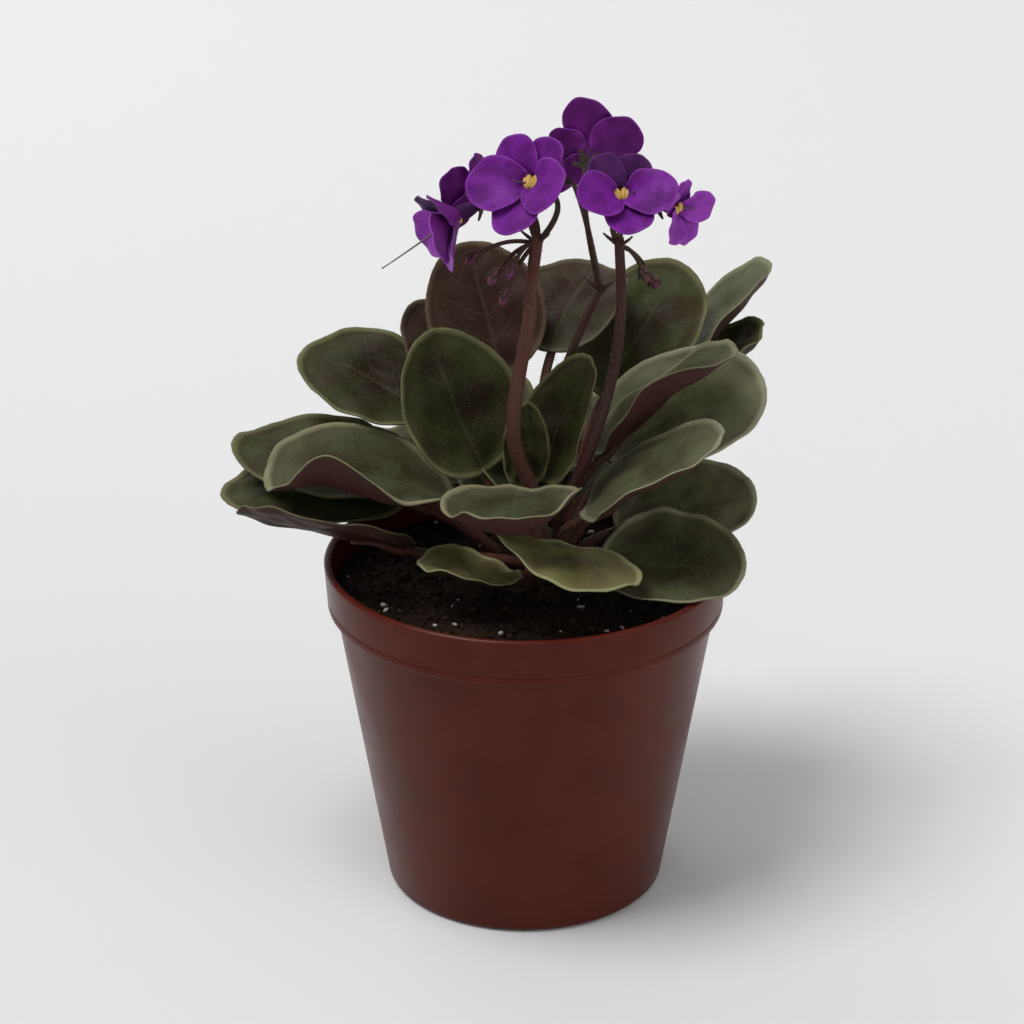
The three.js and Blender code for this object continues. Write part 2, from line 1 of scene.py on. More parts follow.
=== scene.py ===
import random
from bisect import bisect
from collections import namedtuple
from math import atan2, ceil, cos, degrees, exp, hypot, radians, sin, sqrt, tau

import bmesh
import bpy
from bpy.props import FloatProperty, FloatVectorProperty, IntProperty, PointerProperty
from mathutils import Matrix, Vector, geometry, noise


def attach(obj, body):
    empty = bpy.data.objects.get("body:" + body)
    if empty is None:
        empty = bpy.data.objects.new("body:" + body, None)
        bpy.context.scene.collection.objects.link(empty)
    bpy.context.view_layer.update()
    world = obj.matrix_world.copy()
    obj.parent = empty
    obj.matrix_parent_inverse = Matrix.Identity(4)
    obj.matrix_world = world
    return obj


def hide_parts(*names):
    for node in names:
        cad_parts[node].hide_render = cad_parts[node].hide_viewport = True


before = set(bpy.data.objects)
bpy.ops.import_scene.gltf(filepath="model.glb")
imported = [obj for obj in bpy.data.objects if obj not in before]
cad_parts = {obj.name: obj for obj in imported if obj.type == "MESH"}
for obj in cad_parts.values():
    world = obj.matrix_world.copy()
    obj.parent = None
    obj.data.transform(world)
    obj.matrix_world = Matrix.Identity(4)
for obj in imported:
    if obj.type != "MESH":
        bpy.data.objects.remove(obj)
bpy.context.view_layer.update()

bl_info = {
    "name": "Potted African violet",
    "version": (1, 0, 0),
    "blender": (4, 5, 0),
    "location": "View3D > Sidebar > Violet",
    "description": "Makes the pot, soil, leaves, flower stalks and blooms of a potted African violet",
    "category": "Object",
}

# The pot, the soil and the crown
MM = 0.001
POT_HEIGHT = 105
RIM_RADIUS = 60
BASE_RADIUS = 42
BAND_HEIGHT = 14
BAND_STEP = 3.4
BAND_TAPER = 0.9
POT_WALL = 1.6
DRAIN_HOLES = 6
DRAIN_RADIUS = 4
DRAIN_CIRCLE = 28
SOIL_TOP = 95
SOIL_EDGE = 56.9
SOIL_MOUND = 2
CROWN_X, CROWN_Y = 4, 2
CROWN_RADIUS = 7
CROWN_TOP = 120
CROWN_FOOT = 71

# The youngest leaves, on the crown: compass turn, pitch and length
YOUNG_LEAVES = [
    (305, 58, 9), (60, 66, 8), (180, 70, 7), (250, 78, 6), (215, 48, 15), (140, 52, 17), (20, 50, 15),
    (340, 62, 12), (95, 60, 16), (270, 40, 11), (160, 20, 24), (25, 30, 24), (146, 37, 24),
]

# Petioles: where they leave the crown and how they bend and taper, and the rib under the blade
ROOT_OUT = 5
ROOT_RISE = 14
STEEPEST_ROOT = 88
PETIOLE_BEND = 0.35
PETIOLE_ROOT = 1.9
PETIOLE_NECK = 1.4
RIB_END = 0.55
RIB_SHARE = 0.35
RIB_SINK = 0.3

# Blades: their thickness in the middle and at the margin, the turned-up rim and its ripples, the teeth,
# and how many side veins there are in half the length
BLADE_THICK = 1.2
BLADE_THIN = 0.4
RIM_TURN = 0.8
RIM_RIPPLE = 0.15
TEETH_PER_MM = 0.6
TEETH_DEPTH = 0.006
SIDE_VEINS = 2.7

# A leaf. root: where its petiole leaves the crown, as a compass turn and a height above the soil.
# base: where its blade begins. aim: the blade's compass turn, its pitch there and its pitch at the tip.
# size: length and width of the blade. roll: its lean to one side. cup: how far each side is turned up.
# look: which of the leaf looks it wears, lighter or darker partly with painted light and shade.
# wave: height of the waves in the margin, how many go round it,
# where they begin, and what share of that height the right-hand margin has. fold: how far the margin is
# turned up on one side, from where, on which side, with 0 at the tip and 90 at the left, and how many
# degrees it takes to die away. egg: how much narrower than its middle the blade is towards the tip.
Leaf = namedtuple("Leaf", "root base aim size roll cup look wave fold egg",
                  defaults=((1, 3, 0, 1), (0, 0, 0, 90), 0.1))
LEAVES = {
    "back_left_low": Leaf((153, 19), (-30, 19, 142), (155, 31, 4), (44, 34), -24, 16, "deep"),
    "left_inner": Leaf((190, 23), (-12, 6, 129), (150, 58, 72), (46, 39), -30, 32, "deep"),
    "left_wavy": Leaf((205, 17), (-20.5, -3, 121), (187, 36, -10), (60, 40), -16, 12, "grey",
                      wave=(7, 3, 285, 0.1), fold=(11, 0.5, 100, 62)),
    "left_upper": Leaf((170, 12), (-36, 8, 124.5), (172, 17, 2), (53, 36), -17, 12, "dark",
                       wave=(1.5, 3, 60, 1)),
    "left_lower": Leaf((184, 6), (-35, 4, 121), (177, 10, -10), (56, 34), -18, 12, "dark",
                       wave=(1.2, 3, 0, 1)),
    "left_edge": Leaf((202, 9), (-33, -4.5, 109.6), (189, 15, 16), (54, 35), 27, 10, "dark"),
    "front_middle": Leaf((268, 12), (-2, -11.5, 131.6), (264, 0, -6), (38, 41), 4, 14, "grey",
                         wave=(1.5, 3, 90, 1), fold=(7, 0.6, 15, 100)),
    "front_left": Leaf((250, 6), (-3, -12, 104.5), (212, 14, 16), (33, 28), 0, 15, "olive"),
    "front_right": Leaf((294, 7), (7, -13, 115), (282, 12, -6), (42, 47), -20, 12, "olive"),
    "right_low": Leaf((320, 5), (22, -10, 110), (345, -8, 6), (44, 41), 20, 24, "grey"),
    "right_under": Leaf((352, 8), (27, 15, 107), (0, 20, 8), (44, 32), 38, 18, "sage"),
    "right_broad": Leaf((6, 13), (25, 15, 130), (5, 38, 12), (52, 42), 38, 20, "sage", wave=(2, 3, 0, 1)),
    "right_folded": Leaf((345, 21), (20, 4, 134), (10, 44, 30), (54, 28), -12, 45, "grey",
                         wave=(2, 3, 0, 1)),
    "right_front": Leaf((318, 17), (17, -7, 122), (341, 40, 30), (52, 33), 14, 14, "sage"),
    "centre_upright": Leaf((5, 25), (3.5, 4, 128), (15, 66, 70), (41, 27), 30, 32, "dark", egg=0.42),
    "centre_small": Leaf((215, 25), (0, -0.5, 127), (95, 84, 90), (27, 14), 0, 25, "dark"),
    "back_right_tall": Leaf((40, 16), (23, 34, 142), (47, 44, 38), (50, 38), 15, 18, "dark",
                            wave=(1.5, 3, 0, 1), fold=(-3, 0.7, -90, 80)),
    "back_right_long": Leaf((62, 9), (38, 40, 140), (37, 38, 36), (57, 34), -20, 16, "pale"),
    "back_right_low": Leaf((38, 5), (38, 30, 131), (34, 36, 36), (50, 33), -18, 16, "deep"),
    "back_left_dark": Leaf((135, 11), (-14, 26, 143), (130, 42, 40), (38, 34), 0, 16, "purple"),
    "back_left_tall": Leaf((114, 14), (-7, 24, 153), (119, 58, 54), (42, 36), -22, 18, "purple",
                           wave=(1.5, 3, 0, 1)),
    "back_tall": Leaf((80, 17), (7, 30, 158), (62, 50, 5), (38, 36), 0, 16, "brown"),
    "back_middle": Leaf((106, 9), (-7, 35, 130), (116, 11, -2), (46, 38), 0, 14, "dark"),
    "back_low": Leaf((101, 5), (1, 41, 112), (92, 4, -6), (46, 40), 0, 14, "dark"),
    "back_right_under": Leaf((74, 6), (21, 37, 119), (64, 14, 0), (50, 38), 0, 14, "grey"),
    "back_left_under": Leaf((137, 6), (-23, 31, 114), (133, 10, -4), (50, 38), 0, 14, "dark"),
}

# Blooms: centre of the throat, compass turn and pitch of the way it faces, spin about that way,
# diameter, how far the petals stand forward, the stalk that carries it, the end of its style to the right,
# up and ahead, and the colour of its petals in front. The lighter petal colour is the front colour with
# painted light.
BLOOMS = {
    "front_left": ((3.5, -12, 224), 230, 32, 10, 38, 34, "left", (-3, -1, 8), "front"),
    "front_right": ((26, -12, 220), 282, 43, 0, 34, 38, "right", (3, -1, 7), "front"),
    "top": ((18, 8, 226), 78, 18, 242, 33, 24, "back", (-3, -1, 6), "front"),
    "right": ((40.5, 1, 214), 320, -4, 20, 24, 34, "right", (3, -1, 7), "front_painted_light"),
    "left": ((-16.5, -5, 214.5), 199, -24, 14, 35, 47, "left", (-2, -3, 29), "front_painted_light"),
    "left_back": ((-10.5, 5, 217), 150, 5, 30, 28, 34, "left", (-3, -1, 6), "front"),
    "back": ((12, 24, 217), 110, 25, 0, 28, 26, "back", (-3, -1, 6), "front"),
}

# Petals: angle round the throat, length and half width as shares of the bloom's radius, and layer
PETALS = [
    (54, 0.84, 0.44, 0),
    (126, 0.84, 0.44, 1),
    (198, 1.02, 0.56, 2),
    (270, 1.04, 0.56, 0.6),
    (342, 1.02, 0.56, 2),
]

# What all petals share: where they start, and how they curl, wave, lie over one another, flare, settle
# into their layer, wrap round the throat and are notched
PETAL_START = 0.8
PETAL_CURL = 16
PETAL_WAVE = 0.4
PETAL_LAYER = 1.15
PETAL_FLARE = 0.25
PETAL_SETTLE = 3
PETAL_WRAP = 1.5
PETAL_NOTCH = 0.035

# Throats and styles, and how cupped a bloom is when its upper petals are dark with shade
THROAT_DEPTH = 4.5
THROAT_AHEAD = 2.4
THROAT_FRONT = 2.6
THROAT_BACK = 1.3
STYLE_ROOT = 0.4
STYLE_TOP = 0.175
STIGMA = 0.3
SHADED_CUP = 36

# Anthers: the width of the bloom that they are drawn for, half their width, length and depth, and the
# width and depth of the groove in each
ANTHER_BLOOM = 34
ANTHER_HALF = (1.45, 2.2, 1.15)
GROOVE_WIDTH = 0.16
GROOVE_DEPTH = 0.4

# Flower stalks: the points that each follows, its radius below and above, and where its buds hang
STALKS = {
    "left": dict(
        course=[(2, -1, 115), (2, -4.5, 127), (-2.6, -6.5, 141), (-3.5, -8, 152), (-2, -8, 165),
                (1, -8, 183), (1.5, -8, 193), (3.4, -7, 208)],
        root=2.4, top=1.7, buds=[(-9, -9, 196), (-15, -4, 200), (-4, -11, 199), (-6, -9, 190)],
    ),
    "right": dict(
        course=[(8, -2, 116), (15, -7, 132.5), (20.5, -6.5, 147), (25.7, -3, 166.5), (27.4, -1, 185),
                (26.6, -1, 205)],
        root=1.9, top=1.4, buds=[(34, 2, 193), (37, 7, 189)],
    ),
    "back": dict(
        course=[(8, 5, 116), (8.5, 11, 130), (10.5, 13, 149), (12.5, 13, 162), (20, 12, 181),
                (23, 11, 186)],
        root=1.6, top=1.1, buds=[],
    ),
}

# Where along a stalk it forks, how far behind a bloom its pedicel bends, and its sepals
FORK = 0.97
PEDICEL_REACH = 13
SEPALS = 5
SEPAL_SPREAD = 55

# The hairs, and the gap between pieces that sit in one another
HAIR_RADIUS = 0.06
FIT = 0.3

# Stage: the camera's place and aim, the line of the backdrop from front to top in metres, and the lights
CAMERA_AT = (0, -911.4, 516.5)
CAMERA_AIM = (-4, 0, 119)
BACKDROP_LINE = [(-30, 0), (1.4, 0), (1.75, 0.1), (1.98, 0.35), (2.05, 0.7), (2.05, 4)]
BACKDROP_SIDE = 30
SUN_WAY = (0.38, 0.16, -1)
LIGHT_AIM = (0, 0, 0.13)


def heading(turn, pitch):
    turn, pitch = radians(turn), radians(pitch)
    return Vector((cos(pitch) * cos(turn), cos(pitch) * sin(turn), sin(pitch)))


def leftward(turn):
    """The level direction to the left of a compass turn."""
    return Vector((-sin(radians(turn)), cos(radians(turn)), 0))


def smooth_step(low, high, value):
    t = min(max((value - low) / (high - low), 0), 1)
    return t * t * (3 - 2 * t)


class Path:
    """A smooth line through closely spaced points, read by the length along it."""

    def __init__(self, points):
        self.points = [Vector(point) for point in points]
        self.marks = [0]
        for a, b in zip(self.points, self.points[1:]):
            self.marks.append(self.marks[-1] + (b - a).length)
        self.length = self.marks[-1]

    def at(self, s):
        s = min(max(s, 0), self.length)
        k = min(bisect(self.marks, s), len(self.points) - 1)
        share = (s - self.marks[k - 1]) / max(self.marks[k] - self.marks[k - 1], 1e-9)
        return self.points[k - 1].lerp(self.points[k], share)

    def ahead(self, s):
        step = self.length / 200
        return (self.at(s + step) - self.at(s - step)).normalized()

    def square(self, s):
        """The point, the sideways and the upward direction at a length along the line."""
        forward = self.ahead(s)
        aside = Vector((1, 0, 0)) if abs(forward.y) > 0.8 else Vector((0, 1, 0))
        left = aside.cross(forward).normalized()
        return self.at(s), left, forward.cross(left)


class LeafLine:
    """The line of a leaf, out along its petiole and then along its midrib."""

    def __init__(self, leaf):
        root_turn, root_height = leaf.root
        turn, pitch, tip_pitch = leaf.aim
        start = heading(root_turn, 0) * ROOT_OUT + Vector((CROWN_X, CROWN_Y, SOIL_TOP + root_height))
        base = Vector(leaf.base)
        chord = base - start
        climb = degrees(atan2(chord.z, chord.xy.length))
        pull = chord.length * PETIOLE_BEND
        rise = heading(root_turn, min(climb + ROOT_RISE, STEEPEST_ROOT))
        arrive = heading(turn, pitch)
        bends = (start + rise * pull, base - arrive * pull)
        self.petiole = Path(geometry.interpolate_bezier(start, *bends, base, 80))
        self.length = leaf.size[0]
        point = base.copy()
        self.frames = []
        for s in range(ceil(self.length) + 2):
            forward = heading(turn, pitch + (tip_pitch - pitch) * min(s, self.length) / self.length)
            left = Matrix.Rotation(radians(leaf.roll), 3, forward) @ leftward(turn)
            self.frames.append((point.copy(), left, forward.cross(left)))
            point += forward

    def at(self, s):
        """The point, the leftward and the upward direction at a length from the root."""
        if s < self.petiole.length:
            forward = self.petiole.ahead(s)
            up = forward.cross(self.frames[0][1]).normalized()
            return self.petiole.at(s), up.cross(forward), up
        s -= self.petiole.length
        k = min(int(s), len(self.frames) - 2)
        a, b = self.frames[k], self.frames[k + 1]
        return tuple(one.lerp(other, s - k) for one, other in zip(a, b))


def vein_lines(x, y):
    """How deep a blade's surface lies in its veins, from 0 between them to 1 in the midrib."""
    rib = exp(-(y / 0.06) ** 2) * (1 - smooth_step(0.4, 1, x))
    sweep = (x - 0.55 * abs(y) - 0.2 * y * y) * SIDE_VEINS
    side = exp(-((sweep % 1 - 0.5) / 0.16) ** 2) * smooth_step(0.02, 0.2, abs(y))
    return max(rib, 0.55 * side * (1 - smooth_step(0.75, 0.98, hypot(x, y))))


def leaf_surface(leaf, line, relief, swell):
    """A function that places a point of the unit disc on the blade: x towards the tip, y to the left."""
    curl = radians(leaf.cup)
    length, width = leaf.size
    wave, lobes, phase, other = leaf.wave
    fold, fold_start, fold_side, spread = leaf.fold
    least, most = cos(radians(spread)), cos(radians(spread / 2))

    def turn_up(r, around):
        near = cos(around - radians(fold_side))
        return fold * smooth_step(fold_start, 1, r) * smooth_step(least, most, near)

    def place(x, y):
        point, left, up = line.at(line.petiole.length + length * (x + 1) / 2)
        side = y * (1 - leaf.egg * x)
        across = width / 2 / curl * sin(curl * side)
        lift = width / 2 / curl * (1 - cos(curl * side))
        r = hypot(x, y)
        edge = r ** 3 * min(max((x + 1) * 1.5, 0), 1)
        share = (1 + y + other * (1 - y)) / 2
        around = atan2(y, x)
        lift += wave * share * edge * sin(lobes * around + radians(phase))
        lift += relief * (0.3 - vein_lines(x, y)) + RIM_TURN * smooth_step(0.84, 1, r)
        lift += RIM_RIPPLE * r ** 8 * sin(11 * around + phase) + turn_up(r, around)
        lift += swell * noise.noise(Vector((2.1 * x, 2.5 * y, length)))
        return point + left * across + up * lift

    return place


def scallop(x, y, count, depth):
    """Draws a point of the unit disc in a little towards the middle between the teeth of its margin."""
    r = hypot(x, y)
    around = atan2(y, x)
    notch = depth * abs(sin(count / 2 * around)) ** 0.5 - depth
    notch *= smooth_step(0.75, 1, r) * (1 - smooth_step(2.5, 3, abs(around)))
    return x * (1 + notch), y * (1 + notch)


def faces_of(verts):
    return list(dict.fromkeys(face for vert in verts for face in vert.link_faces))


def edges_of(ring):
    return list(dict.fromkeys(e for vert in ring for e in vert.link_edges if e.other_vert(vert) in ring))


def placed(name, data):
    """A new object in the scene that shows a mesh, a light or a camera."""
    made = bpy.data.objects.new(name, data)
    bpy.context.scene.collection.objects.link(made)
    return made


class Work:
    """A mesh being made, in millimetres, with its materials by label and its own random draws. Its disc
    layer keeps each point's place on a blade or petal. Hairs and crumbs are made in a mesh of their own,
    which joins it at the end."""

    def __init__(self, materials, dice=None):
        self.materials = materials
        self.dice = dice
        self.bm = bmesh.new()
        self.loose = bmesh.new()
        self.disc = self.bm.verts.layers.float_vector.new("disc")
        self.lift = self.bm.verts.layers.float_vector.new("lift")

    def paint(self, faces, label):
        slot = list(self.materials).index(label)
        for face in faces:
            face.material_index = slot

    def sheet(self, place, cells, thickness, labels, shape=None):
        """A thin closed sheet: the unit disc placed by a function, with an upper and an under side."""
        bm = self.bm
        verts = bmesh.ops.create_grid(bm, x_segments=cells[0], y_segments=cells[1], size=1)["verts"]
        under = faces_of(verts)
        for vert in verts:
            u, v = vert.co.x, vert.co.y
            x, y = u * sqrt(1 - v * v / 2), v * sqrt(1 - u * u / 2)
            vert[self.disc] = (x, y, 0)
            vert.co = place(*(shape(x, y) if shape else (x, y)))
        for face in under:
            face.normal_update()
        for vert in verts:
            vert.normal_update()
            x, y, _ = vert[self.disc]
            vert[self.lift] = vert.normal * thickness(x, y) / 2
        made = bmesh.ops.extrude_face_region(bm, geom=under)["geom"]
        upper = [g for g in made if isinstance(g, bmesh.types.BMFace)]
        for vert in (g for g in made if isinstance(g, bmesh.types.BMVert)):
            vert.co += vert[self.lift]
        for vert in verts:
            vert.co -= vert[self.lift]
        whole = faces_of(verts) + upper
        self.paint(whole, labels[0])
        self.paint(under, labels[1])
        bmesh.ops.recalc_face_normals(bm, faces=whole)
        return upper, under

    def stem(self, stations, sides, label):
        """A closed stem through stations of (point, left, up, radius). Returns its side faces."""
        bm = self.bm
        ring = bmesh.ops.create_circle(bm, cap_ends=False, radius=1, segments=sides)["verts"]
        for vert in ring:
            vert[self.disc] = vert.co
        rings = [ring]
        skin = []
        for _ in stations[1:]:
            made = bmesh.ops.extrude_edge_only(bm, edges=edges_of(ring))["geom"]
            ring = [g for g in made if isinstance(g, bmesh.types.BMVert)]
            skin += [g for g in made if isinstance(g, bmesh.types.BMFace)]
            rings.append(ring)
        for k, (point, left, up, radius) in enumerate(stations):
            for vert in rings[k]:
                x, y, _ = vert[self.disc]
                vert.co = point + left * (x * radius) + up * (y * radius)
                vert[self.disc] = (2 * k / (len(stations) - 1) - 1, y, 0)
        whole = list(skin)
        for end in (rings[0], rings[-1]):
            whole += bmesh.ops.edgeloop_fill(bm, edges=edges_of(end))["faces"]
        self.paint(whole, label)
        bmesh.ops.recalc_face_normals(bm, faces=whole)
        return skin

    def turned(self, profile, steps, label):
        """A closed body spun round the upright axis from its profile of radii and heights."""
        bm = self.bm
        verts = [bm.verts.new((r, 0, z)) for r, z in profile]
        edges = [bm.edges.new(pair) for pair in zip(verts, verts[1:])]
        bmesh.ops.spin(bm, geom=verts + edges, cent=(0, 0, 0), axis=(0, 0, 1), angle=tau, steps=steps,
                       use_merge=True)
        bmesh.ops.remove_doubles(bm, verts=bm.verts, dist=0.001)
        self.paint(bm.faces, label)
        bmesh.ops.recalc_face_normals(bm, faces=bm.faces)

    def hair(self, point, away, length):
        turned = away.to_track_quat("Z", "Y").to_matrix().to_4x4()
        made = bmesh.ops.create_cone(
            self.loose, cap_ends=True, segments=3, radius1=HAIR_RADIUS, radius2=0, depth=length,
            matrix=Matrix.Translation(point + away * (length / 2)) @ turned)
        self.paint(faces_of(made["verts"]), "down")

    def astray(self, away, most):
        """A direction drawn a little aside, by up to this much each way."""
        return (away + Vector([self.dice.uniform(-most, most) for _ in range(3)])).normalized()

    def down(self, faces, count, length):
        """Soft hairs that stand out from some of the faces, which are sorted by place before the draw,
        because an extrusion doesn't always give them in the same order."""
        ranked = sorted(faces, key=lambda face: tuple(face.calc_center_median()))
        for face in self.dice.choices(ranked, k=count):
            away = self.astray(face.normal, 0.5)
            self.hair(face.calc_center_median(), away, length * self.dice.uniform(0.6, 1.2))

    def fringe(self, place, count, length):
        """Soft hairs that stand out from the margin of a blade."""
        middle = place(0, 0)
        for _ in range(count):
            around = self.dice.uniform(-3, 3)
            point = place(0.99 * cos(around), 0.99 * sin(around))
            away = self.astray((point - middle).normalized(), 0.4)
            self.hair(point, away, length * self.dice.uniform(0.6, 1.2))

    def crumb(self, point, size, label):
        """An uneven grain."""
        dice = self.dice
        made = bmesh.ops.create_icosphere(self.loose, subdivisions=1, radius=size)["verts"]
        turn = Matrix.Rotation(dice.uniform(0, tau), 3, "Z")
        turn = turn @ Matrix.Rotation(dice.uniform(0, 3), 3, "X")
        flat = dice.uniform(0.45, 0.8)
        for vert in made:
            shift = 1 + dice.uniform(-0.25, 0.25)
            vert.co = point + turn @ Vector((vert.co.x, vert.co.y * 0.8, vert.co.z * flat)) * shift
        self.paint(faces_of(made), label)

    def ball(self, centre, axes, detail, label):
        """A rounded body. axes are its three half axes."""
        made = bmesh.ops.create_uvsphere(self.bm, u_segments=detail, v_segments=detail * 2 // 3, radius=1)
        a, b, c = axes
        for vert in made["verts"]:
            vert.co = centre + a * vert.co.x + b * vert.co.y + c * vert.co.z
        faces = faces_of(made["verts"])
        self.paint(faces, label)
        bmesh.ops.recalc_face_normals(self.bm, faces=faces)
        return made["verts"]

    def piece(self, name, nodes, slot):
        """Finishes the mesh as a piece of the plant, in metres, in place of its plain solids."""
        bm = self.bm
        mesh = bpy.data.meshes.new(name)
        self.loose.to_mesh(mesh)
        self.loose.free()
        bm.from_mesh(mesh)
        uv = bm.loops.layers.uv.new("surface")
        for face in bm.faces:
            for loop in face.loops:
                x, y, _ = loop.vert[self.disc]
                loop[uv].uv = ((x + 1) / 2, (y + 1) / 2)
        bm.verts.layers.float_vector.remove(bm.verts.layers.float_vector["lift"])
        bmesh.ops.scale(bm, vec=(MM, MM, MM), verts=bm.verts)
        bm.to_mesh(mesh)
        bm.free()
        mesh.shade_smooth()
        for material in self.materials.values():
            mesh.materials.append(material)
        made = placed(name, mesh)
        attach(made, "root")
        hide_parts(*nodes)
        return made


class Bloom:
    """Where a bloom's throat is, and the ways it faces, to its right and up, seen from the front."""

    def __init__(self, values):
        centre, turn, pitch, spin, self.across, self.cup, self.carrier, self.style, self.tint = values
        self.centre = Vector(centre)
        self.facing = heading(turn, pitch)
        self.right = Matrix.Rotation(radians(spin), 3, self.facing) @ leftward(turn)
        self.up = self.facing.cross(self.right)

    def at(self, right, up, ahead):
        return self.centre + self.right * right + self.up * up + self.facing * ahead

    def petal(self, petal, order, ruffle):
        """A function that places a point of the unit disc on a petal: x outwards and y to its left."""
        angle, share, width, layer = petal
        length = self.across / 2 * share - PETAL_START
        half_width = self.across / 2 * width
        layer *= PETAL_LAYER / cos(radians(self.cup))

        def place(x, y):
            t = (x + 1) / 2
            lean = radians(self.cup + PETAL_CURL * (0.5 - t))
            along = PETAL_START + length * t
            radius = along * cos(lean)
            wrap = half_width * y * (1 + PETAL_FLARE * x) / (radius + PETAL_WRAP)
            r = hypot(x, y)
            around = atan2(y, x)
            rise = PETAL_WAVE * r * r * sin(3 * around + order * 2)
            rise += ruffle * r ** 5 * sin(8 * around + order * 1.7) * smooth_step(-1, 0, x)
            rise += 0.5 * ruffle * noise.noise(Vector((2.5 * x, 4 * y, order + self.centre.x)))
            settled = min(max(length * t / PETAL_SETTLE, 0), 1)
            turn = radians(angle) + wrap
            ahead = along * sin(lean) + rise + layer * settled
            return self.at(radius * cos(turn), radius * sin(turn), ahead)

        return place


# Materials

class NodeNet:
    """A shader's node tree, and ways of adding nodes to it that give back their output."""

    def __init__(self, tree):
        self.tree = tree

    def put(self, kind, inputs=None, **settings):
        """Adds a node, sets it up and feeds its inputs with values or with other nodes' outputs."""
        made = self.tree.nodes.new("ShaderNode" + kind)
        for name, value in settings.items():
            setattr(made, name, value)
        for key, value in (inputs or {}).items():
            if isinstance(value, bpy.types.NodeSocket):
                self.tree.links.new(value, made.inputs[key])
            else:
                made.inputs[key].default_value = value
        return made

    def maths(self, operation, a, b=0.0):
        return self.put("Math", {0: a, 1: b}, operation=operation).outputs[0]

    def times(self, a, b):
        return self.maths("MULTIPLY", a, b)

    def plus(self, a, b):
        return self.maths("ADD", a, b)

    def minus(self, a, b):
        return self.maths("SUBTRACT", a, b)

    def ranged(self, value, low, high, to_low=0.0, to_high=1.0):
        """The value carried from one range into another, eased between them and held at the ends."""
        inputs = {0: value, 1: low, 2: high, 3: to_low, 4: to_high}
        return self.put("MapRange", inputs, interpolation_type="SMOOTHSTEP").outputs[0]

    def mixed(self, share, a, b):
        return self.put("Mix", {0: share, 6: a, 7: b}, data_type="RGBA").outputs[2]

    def grain(self, size, detail=3.0, stretch=(1, 1, 1)):
        """Noise on the piece's own place in space, with features of about this many millimetres."""
        where = self.put("TexCoord").outputs["Object"]
        where = self.put("VectorMath", {0: where, 1: stretch}, operation="MULTIPLY").outputs[0]
        inputs = {"Vector": where, "Scale": 1 / (size * MM), "Detail": detail}
        return self.put("TexNoise", inputs).outputs[0]

    def disc_place(self):
        """A point's place on the unit disc of its blade or petal, the length of that, its x and its y."""
        uv = self.put("UVMap", uv_map="surface").outputs[0]
        inputs = {0: uv, 1: (2, 2, 0), 2: (-1, -1, 0)}
        disc = self.put("VectorMath", inputs, operation="MULTIPLY_ADD").outputs[0]
        length = self.put("VectorMath", {0: disc}, operation="LENGTH").outputs[1]
        parts = self.put("SeparateXYZ", {0: disc})
        return disc, length, parts.outputs[0], parts.outputs[1]


def blade_look(net, given):
    """The skin of a leaf: blotched, veined, lighter towards the margin with painted light, pale along the
    margin with a painted highlight, and finely quilted and downy.
    """
    disc, r, x, y = net.disc_place()
    uneven = net.grain(6, 4)
    fuzz = net.grain(0.5, 2)
    blotch = net.ranged(net.grain(13, 3), 0.4, 0.62)
    wavering = net.plus(r, net.times(net.minus(uneven, 0.5), 0.05))
    start = given["Margin start"]
    edge = net.ranged(wavering, start, net.plus(start, 0.07))
    painted_light_outer = net.ranged(wavering, 0.45, 0.98, 0, 0.22)
    aside = net.maths("ABSOLUTE", y)
    rib = net.times(net.ranged(aside, 0.015, 0.05, 1, 0), net.ranged(x, 0.3, 1, 1, 0))
    bend = net.times(net.plus(aside, net.times(uneven, 0.12)), 0.7)
    sweep = net.maths("FRACT", net.times(net.minus(x, bend), SIDE_VEINS))
    near = net.maths("ABSOLUTE", net.minus(sweep, 0.5))
    side = net.times(net.ranged(near, 0.02, 0.1, 1, 0), net.ranged(r, 0.6, 0.95, 0.6, 0))
    veins = net.maths("MAXIMUM", rib, side)
    colour = net.mixed(blotch, given["Colour"], given["Blotch"])
    colour = net.mixed(net.times(veins, given["Vein strength"]), colour, given["Vein"])
    # Painted light: lighter towards the margin, so that the middle of the blade looks shaded
    colour = net.mixed(painted_light_outer, colour, given["Margin"])
    # Painted highlight: a pale band where the downy margin catches the light
    colour = net.mixed(edge, colour, given["Margin"])
    colour = net.mixed(net.ranged(fuzz, 0.5, 0.75, 0, 0.25), colour, given["Margin"])
    inputs = {"Vector": net.put("TexCoord").outputs["Object"], "Scale": 420.0, "Smoothness": 0.6}
    quilt = net.put("TexVoronoi", inputs, feature="SMOOTH_F1").outputs[0]
    height = net.minus(net.times(fuzz, 0.5), net.times(quilt, 0.9))
    height = net.minus(height, net.times(veins, 0.5))
    return {"Color": colour, "Height": height, "Roughness": net.ranged(fuzz, 0.3, 0.7, 0.42, 0.66)}


